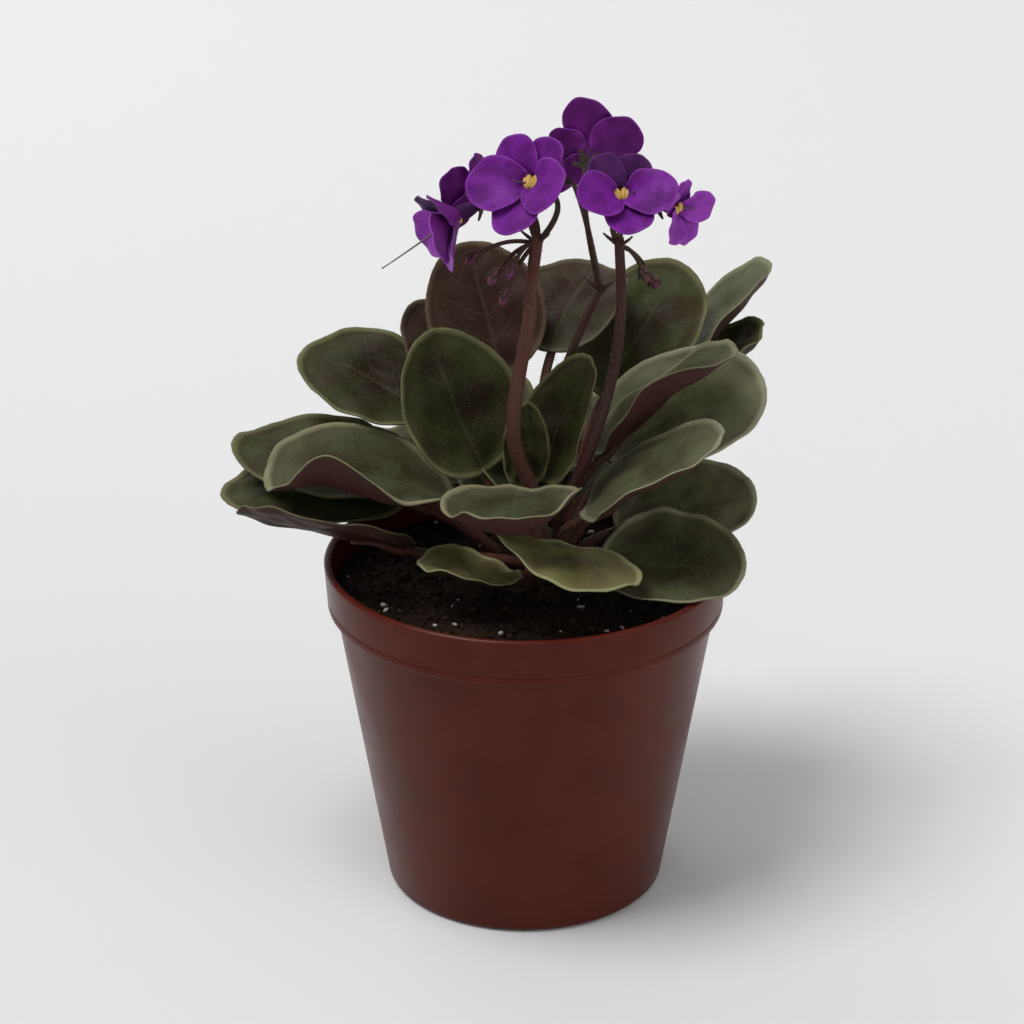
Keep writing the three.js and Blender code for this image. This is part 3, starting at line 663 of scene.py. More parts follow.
def petal_look(net, given):
    """The skin of a petal: darker towards the throat, partly its own colour and partly painted shade,
    streaked lengthways, and glistening with painted glints.
    """
    disc, r, x, y = net.disc_place()
    uneven = net.grain(5, 3)
    sparkle = net.grain(0.22, 1)
    lengthways = net.put("VectorMath", {0: disc, 1: (1.3, 11, 0)}, operation="MULTIPLY").outputs[0]
    streak = net.put("TexNoise", {"Vector": lengthways, "Scale": 1.0, "Detail": 3.0}).outputs[0]
    colour = net.mixed(net.ranged(uneven, 0.35, 0.7), given["Colour"], given["Deep"])
    colour = net.mixed(net.ranged(streak, 0.55, 0.72, 0, 0.55), colour, given["Deep"])
    # Darker towards the throat: partly the petal's own colour, partly painted shade in the cup
    colour = net.mixed(net.ranged(x, -1, -0.45, 0.8, 0), colour, given["Deep"])
    colour = net.mixed(net.ranged(r, 0.86, 1, 0, 0.45), colour, given["Edge"])
    # Painted glints: specks of the lighter edge colour
    colour = net.mixed(net.ranged(sparkle, 0.58, 0.75, 0, 0.35), colour, given["Edge"])
    height = net.plus(net.times(streak, 0.9), net.times(sparkle, 0.4))
    return {"Color": colour, "Height": height, "Roughness": net.ranged(uneven, 0.3, 0.7, 0.42, 0.6)}


def flesh_look(net, given):
    """The skin of stalks, buds and the crown: blushed, lined lengthways and speckled."""
    blush = net.ranged(net.grain(9, 3, (1, 1, 0.3)), 0.36, 0.64)
    lines = net.grain(0.7, 2, (1, 1, 0.16))
    speck = net.grain(0.45, 1)
    colour = net.mixed(blush, given["Colour"], given["Blush"])
    colour = net.mixed(net.ranged(lines, 0.5, 0.72, 0, 0.5), colour, given["Blush"])
    colour = net.mixed(net.ranged(speck, 0.6, 0.72, 0, 0.4), colour, given["Light"])
    height = net.plus(net.times(lines, 0.8), net.times(speck, 0.6))
    return {"Color": colour, "Height": height, "Roughness": net.ranged(lines, 0.3, 0.7, 0.38, 0.6)}


def earth_look(net, given):
    """Crumbly, grainy matter, such as soil and perlite."""
    coarse = net.grain(1.6, 5)
    fine = net.grain(0.3, 3)
    colour = net.mixed(net.ranged(coarse, 0.35, 0.65), given["Colour"], given["Light"])
    colour = net.mixed(net.ranged(fine, 0.55, 0.75, 0, 0.5), colour, given["Light"])
    height = net.plus(coarse, net.times(fine, 0.6))
    return {"Color": colour, "Height": height, "Roughness": net.ranged(fine, 0.3, 0.7, 0.7, 0.95)}


def plastic_look(net, given):
    """Moulded plastic that has been handled: faint clouds, dust and fine scuffs."""
    cloud = net.grain(18, 4)
    dust = net.ranged(net.grain(1.4, 6), 0.52, 0.8, 0, 0.12)
    scuff = net.ranged(net.grain(0.8, 3, (2, 2, 0.3)), 0.58, 0.75)
    colour = net.mixed(net.ranged(cloud, 0.35, 0.65), given["Colour"], given["Light"])
    colour = net.mixed(net.times(dust, net.ranged(cloud, 0.4, 0.6)), colour, given["Dust"])
    roughness = net.plus(net.ranged(cloud, 0.3, 0.7, 0.29, 0.40), net.times(dust, 0.15))
    roughness = net.plus(roughness, net.times(scuff, 0.06))
    height = net.plus(net.times(cloud, 2), net.times(scuff, -0.05))
    return {"Color": colour, "Height": height, "Roughness": roughness}


# The colours and values that each kind of look takes
LOOKS = {
    "Blade": (blade_look, ["Colour", "Blotch", "Margin", "Vein"], ["Margin start", "Vein strength"]),
    "Petal": (petal_look, ["Colour", "Deep", "Edge"], []),
    "Flesh": (flesh_look, ["Colour", "Blush", "Light"], []),
    "Earth": (earth_look, ["Colour", "Light"], []),
    "Plastic": (plastic_look, ["Colour", "Light", "Dust"], []),
}


def look_group(kind):
    """The shader node group of a kind of look, made when it is first asked for."""
    name = kind + " look"
    if name in bpy.data.node_groups:
        return bpy.data.node_groups[name]
    fill, colours, values = LOOKS[kind]
    tree = bpy.data.node_groups.new(name, "ShaderNodeTree")
    for label in colours:
        tree.interface.new_socket(name=label, in_out="INPUT", socket_type="NodeSocketColor")
    for label in values:
        tree.interface.new_socket(name=label, in_out="INPUT", socket_type="NodeSocketFloat")
    tree.interface.new_socket(name="Color", in_out="OUTPUT", socket_type="NodeSocketColor")
    for label in ("Height", "Roughness"):
        tree.interface.new_socket(name=label, in_out="OUTPUT", socket_type="NodeSocketFloat")
    given = tree.nodes.new("NodeGroupInput")
    result = tree.nodes.new("NodeGroupOutput")
    for label, value in fill(NodeNet(tree), given.outputs).items():
        tree.links.new(value, result.inputs[label])
    return tree


def material(name, kind, colours, values=(), bump=0.4, depth=0.3, **shader):
    """A material with one of the looks. bump and depth are the strength and height in mm of its relief."""
    if name in bpy.data.materials:
        return bpy.data.materials[name]
    made = bpy.data.materials.new(name)
    made.use_nodes = True
    net = NodeNet(made.node_tree)
    skin = net.tree.nodes["Principled BSDF"]
    look = net.put("Group", node_tree=look_group(kind))
    for label, colour in zip(LOOKS[kind][1], colours):
        look.inputs[label].default_value = (*colour, 1)
    for label, value in zip(LOOKS[kind][2], values):
        look.inputs[label].default_value = value
    inputs = {"Height": look.outputs["Height"], "Strength": bump, "Distance": depth * MM}
    relief = net.put("Bump", inputs)
    net.tree.links.new(look.outputs["Color"], skin.inputs["Base Color"])
    net.tree.links.new(look.outputs["Roughness"], skin.inputs["Roughness"])
    net.tree.links.new(relief.outputs[0], skin.inputs["Normal"])
    for label, value in shader.items():
        skin.inputs[label].default_value = value
    return made


# The looks of the leaves: upper face, its blotches, its margin, and the underside. Which look a leaf
# wears sets how light or dark it is: partly real differences between leaves, partly painted light and
# shade. The pale margin colour is a painted highlight.
LEAF_LOOKS = {
    "olive": [(0.124, 0.118, 0.038), (0.084, 0.066, 0.024), (0.27, 0.26, 0.13), (0.036, 0.010, 0.008)],
    "sage": [(0.107, 0.111, 0.053), (0.072, 0.061, 0.032), (0.27, 0.26, 0.17), (0.040, 0.011, 0.009)],
    "grey": [(0.043, 0.047, 0.019), (0.029, 0.023, 0.010), (0.20, 0.19, 0.11), (0.044, 0.010, 0.009)],
    "dark": [(0.028, 0.036, 0.009), (0.023, 0.015, 0.006), (0.13, 0.12, 0.058), (0.030, 0.009, 0.007)],
    "deep": [(0.021, 0.024, 0.006), (0.019, 0.010, 0.005), (0.13, 0.13, 0.058), (0.026, 0.009, 0.007)],
    "pale": [(0.072, 0.080, 0.040), (0.052, 0.054, 0.027), (0.19, 0.19, 0.11), (0.040, 0.016, 0.012)],
    "purple": [(0.032, 0.015, 0.009), (0.028, 0.011, 0.008), (0.10, 0.065, 0.042), (0.028, 0.010, 0.007)],
    "brown": [(0.030, 0.025, 0.011), (0.027, 0.013, 0.008), (0.10, 0.085, 0.05), (0.028, 0.010, 0.007)],
}
UNDER_BLOTCH = 0.7
DRY = {"Specular IOR Level": 0.1}
VEIN_PALE = (0.085, 0.09, 0.045)
VEIN_RED = (0.085, 0.036, 0.028)
# The pale margin of the underside is a painted highlight
UNDER_MARGIN = (0.09, 0.06, 0.045)
VELVET = {"Sheen Weight": 0.025, "Sheen Roughness": 0.4, "Sheen Tint": (0.8, 0.8, 0.6, 1),
          "Specular IOR Level": 0.1}
PETAL_SHEEN = {"Sheen Weight": 0.04, "Sheen Roughness": 0.45, "Sheen Tint": (0.7, 0.35, 0.95, 1),
               "Specular IOR Level": 0.12}


def down_material():
    return material("Down", "Flesh", [(0.20, 0.19, 0.13), (0.14, 0.12, 0.09), (0.27, 0.26, 0.20)], bump=0.1)


def petiole_material():
    colours = [(0.085, 0.052, 0.034), (0.095, 0.030, 0.024), (0.2, 0.15, 0.11)]
    return material("Petiole", "Flesh", colours, **VELVET)


def heart_material():
    colours = [(0.06, 0.05, 0.025), (0.07, 0.03, 0.02), (0.16, 0.14, 0.09)]
    return material("Rosette heart", "Flesh", colours, **VELVET)


def plastic_material():
    colours = [(0.070, 0.0085, 0.0032), (0.084, 0.011, 0.0042), (0.12, 0.04, 0.02)]
    gloss = {"Coat Weight": 0.06, "Coat Roughness": 0.2, "Specular IOR Level": 0.12}
    return material("Pot plastic", "Plastic", colours, bump=0.07, **gloss)


def leaf_materials(look):
    *face, under = LEAF_LOOKS[look]
    dark = [UNDER_BLOTCH * part for part in under]
    underside = (under, dark, UNDER_MARGIN, VEIN_RED)
    return {
        "face": material("Leaf face " + look, "Blade", (*face, VEIN_PALE), (0.9, 0.22), **VELVET),
        "underside": material("Leaf underside " + look, "Blade", underside, (0.96, 0.5), **VELVET),
        "petiole": petiole_material(),
        "down": down_material(),
    }


# Leaves

def leaf_thickness(x, y):
    return BLADE_THIN + (BLADE_THICK - BLADE_THIN) * (1 - smooth_step(0.5, 1, hypot(x, y)))


def petiole_stations(line, place, length):
    """The petiole from the crown to the blade, and on as a rib that sinks into the blade."""
    foot = line.petiole.length
    reach = foot + length * RIB_SHARE
    steps = round(reach)
    stations = []
    for k in range(steps + 1):
        s = reach * k / steps
        point, left, up = line.at(s)
        radius = PETIOLE_ROOT + (PETIOLE_NECK - PETIOLE_ROOT) * s / foot
        if s > foot:
            radius = PETIOLE_NECK + (RIB_END - PETIOLE_NECK) * (s - foot) / (reach - foot)
            face = place(2 * (s - foot) / length - 1, 0)
            point += up * min((face - point).dot(up) - RIB_SINK, 0)
        stations.append((point - up * radius, left, up, radius))
    return stations


def make_leaf(name, leaf, settings, dice):
    line = LeafLine(leaf)
    work = Work(leaf_materials(leaf.look), dice)
    place = leaf_surface(leaf, line, settings.relief, settings.swell)
    teeth = round(line.length * TEETH_PER_MM)

    def outline(x, y):
        return scallop(x, y, teeth, TEETH_DEPTH)

    cells = (settings.leaf_cells, settings.leaf_cells)
    upper, _ = work.sheet(place, cells, leaf_thickness, ("face", "underside"), outline)
    skin = work.stem(petiole_stations(line, place, line.length), 14, "petiole")
    work.down(skin, settings.down, 1)
    work.down(upper, settings.down, 0.6)
    work.fringe(lambda x, y: place(*outline(x, y)), settings.down, 0.8)
    return work.piece("Leaf_" + name, ["leaf_" + name], "leaf")


# Blooms

PETAL_COLOURS = {
    "front": [(0.160, 0.011, 0.250), (0.095, 0.006, 0.140), (0.28, 0.05, 0.39)],
    # The front colour made lighter with painted light, for blooms that stand in brighter light
    "front_painted_light": [(0.300, 0.045, 0.430), (0.190, 0.022, 0.290), (0.42, 0.11, 0.54)],
    "back": [(0.150, 0.013, 0.190), (0.100, 0.008, 0.125), (0.24, 0.045, 0.30)],
    # The throat tube is dark with painted shade
    "throat": [(0.05, 0.008, 0.065), (0.03, 0.005, 0.04), (0.12, 0.03, 0.15)],
    "shaded": [(0.065, 0.010, 0.090), (0.035, 0.006, 0.05), (0.16, 0.04, 0.22)],
}


def petal_materials(tint):
    style = [(0.13, 0.09, 0.10), (0.10, 0.05, 0.09), (0.22, 0.18, 0.17)]
    made = {"front": tint, "back": "back", "throat": "throat", "shaded": "shaded"}
    for side, look in made.items():
        colours = PETAL_COLOURS[look]
        made[side] = material("Petal " + look, "Petal", colours, bump=0.35, depth=0.2, **PETAL_SHEEN)
    return {**made, "style": material("Style", "Flesh", style)}


def make_bloom(name, bloom, settings):
    work = Work(petal_materials(bloom.tint))
    cells = (settings.petal_cells, settings.petal_cells)
    for order, petal in enumerate(PETALS):
        place = bloom.petal(petal, order, settings.ruffle)

        def outline(x, y):
            around = atan2(y, x)
            draw = 1 - PETAL_NOTCH * hypot(x, y) ** 3 * (1 + sin(5 * around + 2.3 * order))
            return x * draw, y * draw

        face = "shaded" if bloom.cup > SHADED_CUP and order < 2 else "front"
        work.sheet(place, cells, petal_thickness, (face, "back"), outline)
    cup = [(-THROAT_DEPTH, THROAT_BACK), (-3, 1.5), (-1, 2), (1, 2.3), (THROAT_AHEAD, THROAT_FRONT)]
    cup += [(THROAT_AHEAD + 0.1, 2.3), (1.6, 1.9), (0.6, 1.5)]
    throat = [(bloom.at(0, 0, ahead), bloom.right, bloom.up, radius) for ahead, radius in cup]
    work.stem(throat, 20, "throat")
    make_style(work, bloom)
    return work.piece("Bloom_" + name, ["bloom_" + name], "petal")


def petal_thickness(x, y):
    return 0.25 + 0.35 * (1 - smooth_step(0.6, 1, hypot(x, y)))


def make_style(work, bloom):
    """The thin style, which leaves the throat to one side, and the stigma at its end."""
    tip = bloom.at(*bloom.style)
    bends = (bloom.at(0, 0, 4), tip - bloom.facing * 3)
    path = Path(geometry.interpolate_bezier(bloom.at(0, 0, 0.8), *bends, tip, 16))
    work.stem(tapering(path, STYLE_ROOT, STYLE_TOP, 15), 8, "style")
    work.ball(tip, [row * STIGMA for row in Matrix.Identity(3)], 9, "style")


def anther_materials():
    yellow = [(0.72, 0.48, 0.10), (0.52, 0.30, 0.06), (0.95, 0.80, 0.40)]
    cream = [(0.6, 0.55, 0.3), (0.4, 0.3, 0.2), (0.8, 0.75, 0.55)]
    return {
        "anther": material("Anther", "Flesh", yellow, depth=0.15),
        "filament": material("Filament", "Flesh", cream),
    }


def make_anthers(name, bloom):
    """The pair of yellow anthers that stand in a bloom's throat, on their short filaments."""
    work = Work(anther_materials())
    share = bloom.across / ANTHER_BLOOM
    width, length, depth = (half * share for half in ANTHER_HALF)
    for side in (-1, 1):
        turn = Matrix.Rotation(radians(-14 * side), 3, bloom.facing)
        right, up = turn @ bloom.right, turn @ bloom.up
        centre = bloom.at(side * 1.25 * share, 0, 3.6)
        for vert in work.ball(centre, (right * width, up * length, bloom.facing * depth), 24, "anther"):
            across = (vert.co - centre).dot(right) / width
            ahead = max((vert.co - centre).dot(bloom.facing), 0)
            vert.co -= bloom.facing * ahead * GROOVE_DEPTH * exp(-(across / GROOVE_WIDTH) ** 2)
        foot = bloom.at(side * 0.6, 0, 1)
        middle = bloom.at(side * 1.2, -0.5, 2.4)
        path = Path(geometry.interpolate_bezier(foot, middle, middle, centre, 8))
        work.stem(tapering(path, 0.4, 0.4, 7), 8, "filament")
    return work.piece("Anthers_" + name, ["anthers_" + name], "anther")


# Flower stalks

STALK_COLOURS = {
    "left": [(0.100, 0.044, 0.034), (0.085, 0.028, 0.022), (0.20, 0.14, 0.11)],
    "right": [(0.045, 0.026, 0.022), (0.050, 0.018, 0.015), (0.14, 0.10, 0.08)],
    "back": [(0.060, 0.040, 0.028), (0.055, 0.024, 0.020), (0.16, 0.13, 0.10)],
}


def through_points(points, steps=20):
    """A smooth path through points."""
    points = [Vector(p) for p in points]
    ends = [2 * points[0] - points[1], *points, 2 * points[-1] - points[-2]]
    line = [points[0]]
    for before, a, b, after in zip(ends, ends[1:], ends[2:], ends[3:]):
        line += geometry.interpolate_bezier(a, a + (b - before) / 6, b - (after - a) / 6, b, steps)[1:]
    return Path(line)


def bent_path(start, bend, end, steps=24):
    """A path from start to end, drawn towards a bend between them."""
    bends = (start.lerp(bend, 2 / 3), end.lerp(bend, 2 / 3))
    return Path(geometry.interpolate_bezier(start, *bends, end, steps))


def tapering(path, first, last, steps):
    """Stations for a stem along a path, whose radius goes evenly from the first to the last."""
    shares = [k / steps for k in range(steps + 1)]
    return [(*path.square(path.length * share), first + (last - first) * share) for share in shares]


def sepal(work, foot, forward, across, size, curl, hairs):
    """A narrow, pointed, downy sepal or bract, which curls up along its length."""
    length, width = size
    up = forward.cross(across)

    def place(x, y):
        t = (x + 1) / 2
        lift = curl * t * t + 0.25 * width * y * y
        return foot + forward * (length * t) + across * (y * width / 2) + up * lift

    def pointed(x, y):
        return x, y * (1 - 0.75 * (x + 1) ** 2 / 4)

    upper, under = work.sheet(place, (10, 6), lambda x, y: 0.5, ("calyx", "calyx"), pointed)
    work.down(upper + under, hairs, 0.6)


def stalk_materials(name):
    pedicel = [(0.045, 0.032, 0.020), (0.055, 0.022, 0.018), (0.15, 0.12, 0.09)]
    calyx = [(0.040, 0.036, 0.020), (0.050, 0.022, 0.020), (0.14, 0.13, 0.09)]
    bud = [(0.14, 0.05, 0.06), (0.12, 0.03, 0.08), (0.28, 0.18, 0.18)]
    return {
        "stalk": material("Flower stalk " + name, "Flesh", STALK_COLOURS[name], **VELVET),
        "pedicel": material("Pedicel", "Flesh", pedicel, **VELVET),
        "calyx": material("Calyx", "Flesh", calyx, **VELVET),
        "down": down_material(),
        "bud": material("Bud", "Flesh", bud, **VELVET),
    }


def make_stalk(name, stalk, blooms, settings, dice):
    work = Work(stalk_materials(name), dice)
    path = through_points(stalk["course"])
    skin = work.stem(tapering(path, stalk["root"], stalk["top"], 70), 16, "stalk")
    work.down(skin, 2 * settings.down, 0.9)
    fork = path.at(path.length * FORK)
    for bloom in blooms:
        if bloom.carrier == name:
            make_pedicel(work, fork, bloom, settings.down // 2)
    for place in stalk["buds"]:
        make_bud(work, fork, Vector(place))
    for side in (-1, 1):
        away = heading(250 + 70 * side, 35)
        across = Vector((0, 0, 1)).cross(away).normalized()
        sepal(work, fork + away * 0.8, away, across, (5.5, 2.2), 0.8, 16)
    return work.piece("Flower_stalk_" + name, ["stalk_" + name], "stalk")


def make_pedicel(work, fork, bloom, hairs):
    """The stalk of one bloom, with the cup of its calyx and its sepals."""
    end = bloom.at(0, 0, -THROAT_DEPTH - FIT)
    pedicel = bent_path(fork, end - bloom.facing * PEDICEL_REACH, end)
    skin = work.stem(tapering(pedicel, 0.95, 0.75, 24), 10, "pedicel")
    work.down(skin, hairs, 0.8)
    cup = [(-0.8, 0.8), (0, 1.3), (1.2, 1.7), (2.2, 1.9), (2.3, 1.2)]
    work.stem([(end + bloom.facing * s, bloom.right, bloom.up, r) for s, r in cup], 12, "calyx")
    spread = radians(SEPAL_SPREAD)
    for k in range(SEPALS):
        turn = Matrix.Rotation((k + 0.5) * tau / SEPALS, 3, bloom.facing)
        aside = turn @ bloom.right
        forward = (bloom.facing * cos(spread) + aside * sin(spread)).normalized()
        sepal(work, end + aside * 0.9, forward, bloom.facing.cross(aside), (5, 2), 0.6, 12)


def make_bud(work, fork, place):
    """A young bud that hangs on a short pedicel, clasped by its sepals."""
    pedicel = bent_path(fork, fork.lerp(place, 0.5) + Vector((0, 0, 5)), place)
    work.stem(tapering(pedicel, 0.7, 0.6, 20), 8, "pedicel")
    _, left, up = pedicel.square(pedicel.length)
    hang = pedicel.ahead(pedicel.length)
    for vert in work.ball(place, (left * 1.6, up * 1.6, hang * 3), 18, "bud"):
        out = vert.co - place
        along = out.dot(hang)
        around = atan2(out.dot(up), out.dot(left))
        swell = 1 + 0.1 * cos(SEPALS * around) - 0.2 * smooth_step(0, 3, along)
        vert.co = place + hang * along + (out - hang * along) * swell
    for k in range(SEPALS):
        turn = k * tau / SEPALS
        aside = left * cos(turn) + up * sin(turn)
        foot = place - hang * 2.6 + aside * 0.8
        forward = (hang + aside * 0.28).normalized()
        sepal(work, foot, forward, hang.cross(aside), (4.2, 1.7), -0.3, 8)


# Crown, soil and pot

def make_crown(settings, dice):
    work = Work({"heart": heart_material(), **leaf_materials("dark")}, dice)
    profile = [(0, CROWN_FOOT), (3.2, CROWN_FOOT), (5.6, CROWN_FOOT + 8), (CROWN_RADIUS, SOIL_TOP - 2)]
    profile += [(CROWN_RADIUS - 0.4 * (k % 2), SOIL_TOP + 2.5 * k) for k in range(1, 9)]
    profile += [(5.6, CROWN_TOP - 2), (3.2, CROWN_TOP - 0.4), (0, CROWN_TOP)]
    work.turned(profile, 28, "heart")
    for vert in work.bm.verts:
        vert.co.xy *= 1 - 0.06 * (1 + noise.noise(vert.co * 0.4))
        vert.co += Vector((CROWN_X, CROWN_Y, 0))
    top = [face for face in work.bm.faces if face.calc_center_median().z > SOIL_TOP]
    work.down(top, settings.down, 0.9)
    for turn, pitch, length in YOUNG_LEAVES:
        make_young_leaf(work, turn, pitch, length)
    return work.piece("Rosette_heart", ["crown"], "crown")


def make_young_leaf(work, turn, pitch, length):
    """A small leaf of the growing point, thick with down."""
    forward = heading(turn, pitch)
    left = leftward(turn)
    up = forward.cross(left)
    start = Vector((CROWN_X, CROWN_Y, CROWN_TOP - 4)) + forward * 3

    def place(x, y):
        point = start + forward * (length * (x + 1) / 2) + left * (length * 0.33 * y)
        return point + up * (y * y * length * 0.12)

    work.sheet(place, (12, 10), lambda x, y: 0.6, ("face", "underside"))
    work.fringe(place, 50, 0.8)


def soil_height(x, y):
    r = min(hypot(x, y) / SOIL_EDGE, 1)
    lumps = sin(x / 3.1 + y / 5.3) + sin(y / 2.7 - x / 7.9) + sin((x + y) / 4.3)
    lumps += 1.2 * noise.fractal(Vector((x, y, 0)) * 0.35, 1, 2, 3)
    return SOIL_TOP + SOIL_MOUND * (1 - r * r) + 0.35 * lumps * (1 - r ** 6)


def soil_materials():
    soil = [(0.012, 0.0065, 0.004), (0.028, 0.016, 0.010)]
    bark = [(0.026, 0.014, 0.008), (0.045, 0.026, 0.014)]
    perlite = [(0.36, 0.34, 0.31), (0.62, 0.60, 0.57)]
    return {
        "soil": material("Soil", "Earth", soil, bump=0.9, depth=0.8, **DRY),
        "bark": material("Bark crumb", "Earth", bark, bump=0.6, **DRY),
        "perlite": material("Perlite", "Earth", perlite, bump=0.5),
    }


def make_soil(settings, dice):
    """The soil fills the pot. Its top is mounded, lumpy and strewn with crumbs and white perlite."""
    work = Work(soil_materials(), dice)
    gap = POT_WALL + FIT
    band = POT_HEIGHT - BAND_HEIGHT
    profile = [(0, gap), (BASE_RADIUS - gap - 1.4, gap), (BASE_RADIUS - gap - 0.2, gap + 1.4)]
    profile += [(RIM_RADIUS - BAND_STEP - gap - 0.2, band - 1), (SOIL_EDGE, band + 1.6)]
    rings = settings.soil_rings
    profile += [(SOIL_EDGE * k / rings, SOIL_TOP) for k in range(rings, -1, -1)]
    work.turned(profile, 3 * rings, "soil")
    for vert in work.bm.verts:
        if abs(vert.co.z - SOIL_TOP) < 0.01:
            vert.co.z = soil_height(vert.co.x, vert.co.y)
    strewn = [("soil", settings.crumbs, 0.5, 1.6), ("bark", settings.crumbs // 3, 0.6, 1.8),
              ("perlite", settings.perlite, 0.5, 1.3)]
    for label, count, least, most in strewn:
        for _ in range(count):
            r = (SOIL_EDGE - 1.5) * sqrt(dice.random())
            turn = dice.uniform(0, tau)
            x, y = r * cos(turn), r * sin(turn)
            size = dice.uniform(least, most)
            work.crumb(Vector((x, y, soil_height(x, y) + 0.2 * size)), size, label)
    return work.piece("Soil", ["soil"], "soil")


def make_pot(settings):
    """The pot: a tapering wall with a band round the rim, a floor, a foot and drainage holes."""
    work = Work({"plastic": plastic_material()})
    band = POT_HEIGHT - BAND_HEIGHT
    under = RIM_RADIUS - BAND_STEP
    inside = RIM_RADIUS - POT_WALL
    profile = [(0, 0.7), (BASE_RADIUS - 6, 0.7), (BASE_RADIUS - 5, 0), (BASE_RADIUS - 1.5, 0)]
    profile += [(BASE_RADIUS, 1.5), (under, band - 1.5), (RIM_RADIUS - BAND_TAPER, band)]
    profile += [(RIM_RADIUS - 0.8, band + 1.8)]
    profile += [(RIM_RADIUS - 1.1, band + 2.2), (RIM_RADIUS - 0.75, band + 2.6)]
    profile += [(RIM_RADIUS - 0.1, POT_HEIGHT - 2), (RIM_RADIUS, POT_HEIGHT - 0.7)]
    profile += [(RIM_RADIUS - 0.7, POT_HEIGHT), (inside, POT_HEIGHT), (inside - 0.7, POT_HEIGHT - 1.2)]
    profile += [(inside - BAND_TAPER, band + 1.2)]
    profile += [(under - POT_WALL, band - 1), (BASE_RADIUS - POT_WALL, POT_WALL + 1)]
    profile += [(BASE_RADIUS - POT_WALL - 1, POT_WALL), (0, POT_WALL)]
    work.turned(profile, settings.pot_steps, "plastic")
    sharp = radians(14)
    corners = [e for e in work.bm.edges if len(e.link_faces) == 2 and e.calc_face_angle() > sharp]
    bmesh.ops.bevel(work.bm, geom=corners, offset=0.25, segments=3, profile=0.5, affect="EDGES",
                    material=-1)
    pot = work.piece("Pot", ["pot"], "pot")
    drill = bmesh.new()
    for k in range(DRAIN_HOLES):
        turn = k * tau / DRAIN_HOLES
        at = Vector((DRAIN_CIRCLE * cos(turn), DRAIN_CIRCLE * sin(turn), 1)) * MM
        bmesh.ops.create_cone(drill, cap_ends=True, segments=40, radius1=DRAIN_RADIUS * MM,
                              radius2=DRAIN_RADIUS * MM, depth=8 * MM, matrix=Matrix.Translation(at))
    cut_away(pot, drill)
    return pot


def cut_away(piece, cutter):
    """Cuts a bmesh away from a piece, and keeps the result as the piece's own mesh."""
    shape = bpy.data.meshes.new("Cutter")
    cutter.to_mesh(shape)
    cutter.free()
    holder = placed("Cutter", shape)
    cut = piece.modifiers.new("Cut", "BOOLEAN")
    cut.object = holder
    cut.solver = "EXACT"
    whole = piece.evaluated_get(bpy.context.evaluated_depsgraph_get())
    kept = bpy.data.meshes.new_from_object(whole)
    piece.modifiers.clear()
    piece.data = kept
    kept.set_sharp_from_angle(angle=radians(40))
    bpy.data.objects.remove(holder)
    bpy.data.meshes.remove(shape)


# Stage

def make_backdrop(colour):
    """A pale floor that sweeps up into a wall."""
    bm = bmesh.new()
    verts = [bm.verts.new((-BACKDROP_SIDE, y, z)) for y, z in BACKDROP_LINE]
    edges = [bm.edges.new(pair) for pair in zip(verts, verts[1:])]
    made = bmesh.ops.extrude_edge_only(bm, edges=edges)["geom"]
    far = [g for g in made if isinstance(g, bmesh.types.BMVert)]
    bmesh.ops.translate(bm, vec=(2 * BACKDROP_SIDE, 0, 0), verts=far)
    bmesh.ops.recalc_face_normals(bm, faces=bm.faces)
    if bm.faces[0].normal.z < 0:
        bmesh.ops.reverse_faces(bm, faces=bm.faces)
    mesh = bpy.data.meshes.new("Backdrop")
    bm.to_mesh(mesh)
    bm.free()
    mesh.shade_smooth()
    paper = bpy.data.materials.new("Backdrop")
    paper.use_nodes = True
    skin = paper.node_tree.nodes["Principled BSDF"]
    skin.inputs["Base Color"].default_value = (*colour, 1)
    skin.inputs["Roughness"].default_value = 0.9
    skin.inputs["Specular IOR Level"].default_value = 0.1
    mesh.materials.append(paper)
    backdrop = placed("Backdrop", mesh)


def look_along(thing, way):
    """Turns a light or a camera to look along a direction."""
    thing.rotation_euler = way.to_track_quat("-Z", "Y").to_euler()


def soft_light(name, place, size, power):
    """A square soft light that looks at the plant."""
    lamp = bpy.data.lights.new(name, "AREA")
    lamp.size = size
    lamp.energy = power
    light = placed(name, lamp)
    light.location = place
    look_along(light, Vector(LIGHT_AIM) - light.location)


def make_stage(settings):
    """The backdrop, soft studio light, and the camera."""
    make_backdrop(settings.backdrop)
    scene = bpy.context.scene
    scene.view_settings.view_transform = "Standard"
    scene.world = bpy.data.worlds.new("Studio")
    scene.world.use_nodes = True
    sky = scene.world.node_tree.nodes["Background"]
    sky.inputs["Color"].default_value = (0.97, 0.98, 1, 1)
    sky.inputs["Strength"].default_value = settings.sky
    soft_light("Rim", (-0.7, 1.1, 1.2), 0.9, settings.rim)
    soft_light("Fill", (1.3, -0.9, 0.8), 1.2, settings.fill)
    sun = bpy.data.lights.new("Key", "SUN")
    sun.energy = settings.key
    sun.angle = radians(30)
    look_along(placed("Key", sun), Vector(SUN_WAY))
    eye = bpy.data.cameras.new("Camera")
    eye.lens = settings.lens
    eye.clip_start = 0.05
    scene.camera = placed("Camera", eye)
    scene.camera.location = Vector(CAMERA_AT) * MM
    look_along(scene.camera, Vector(CAMERA_AIM) * MM - scene.camera.location)


# Settings, operators and panel

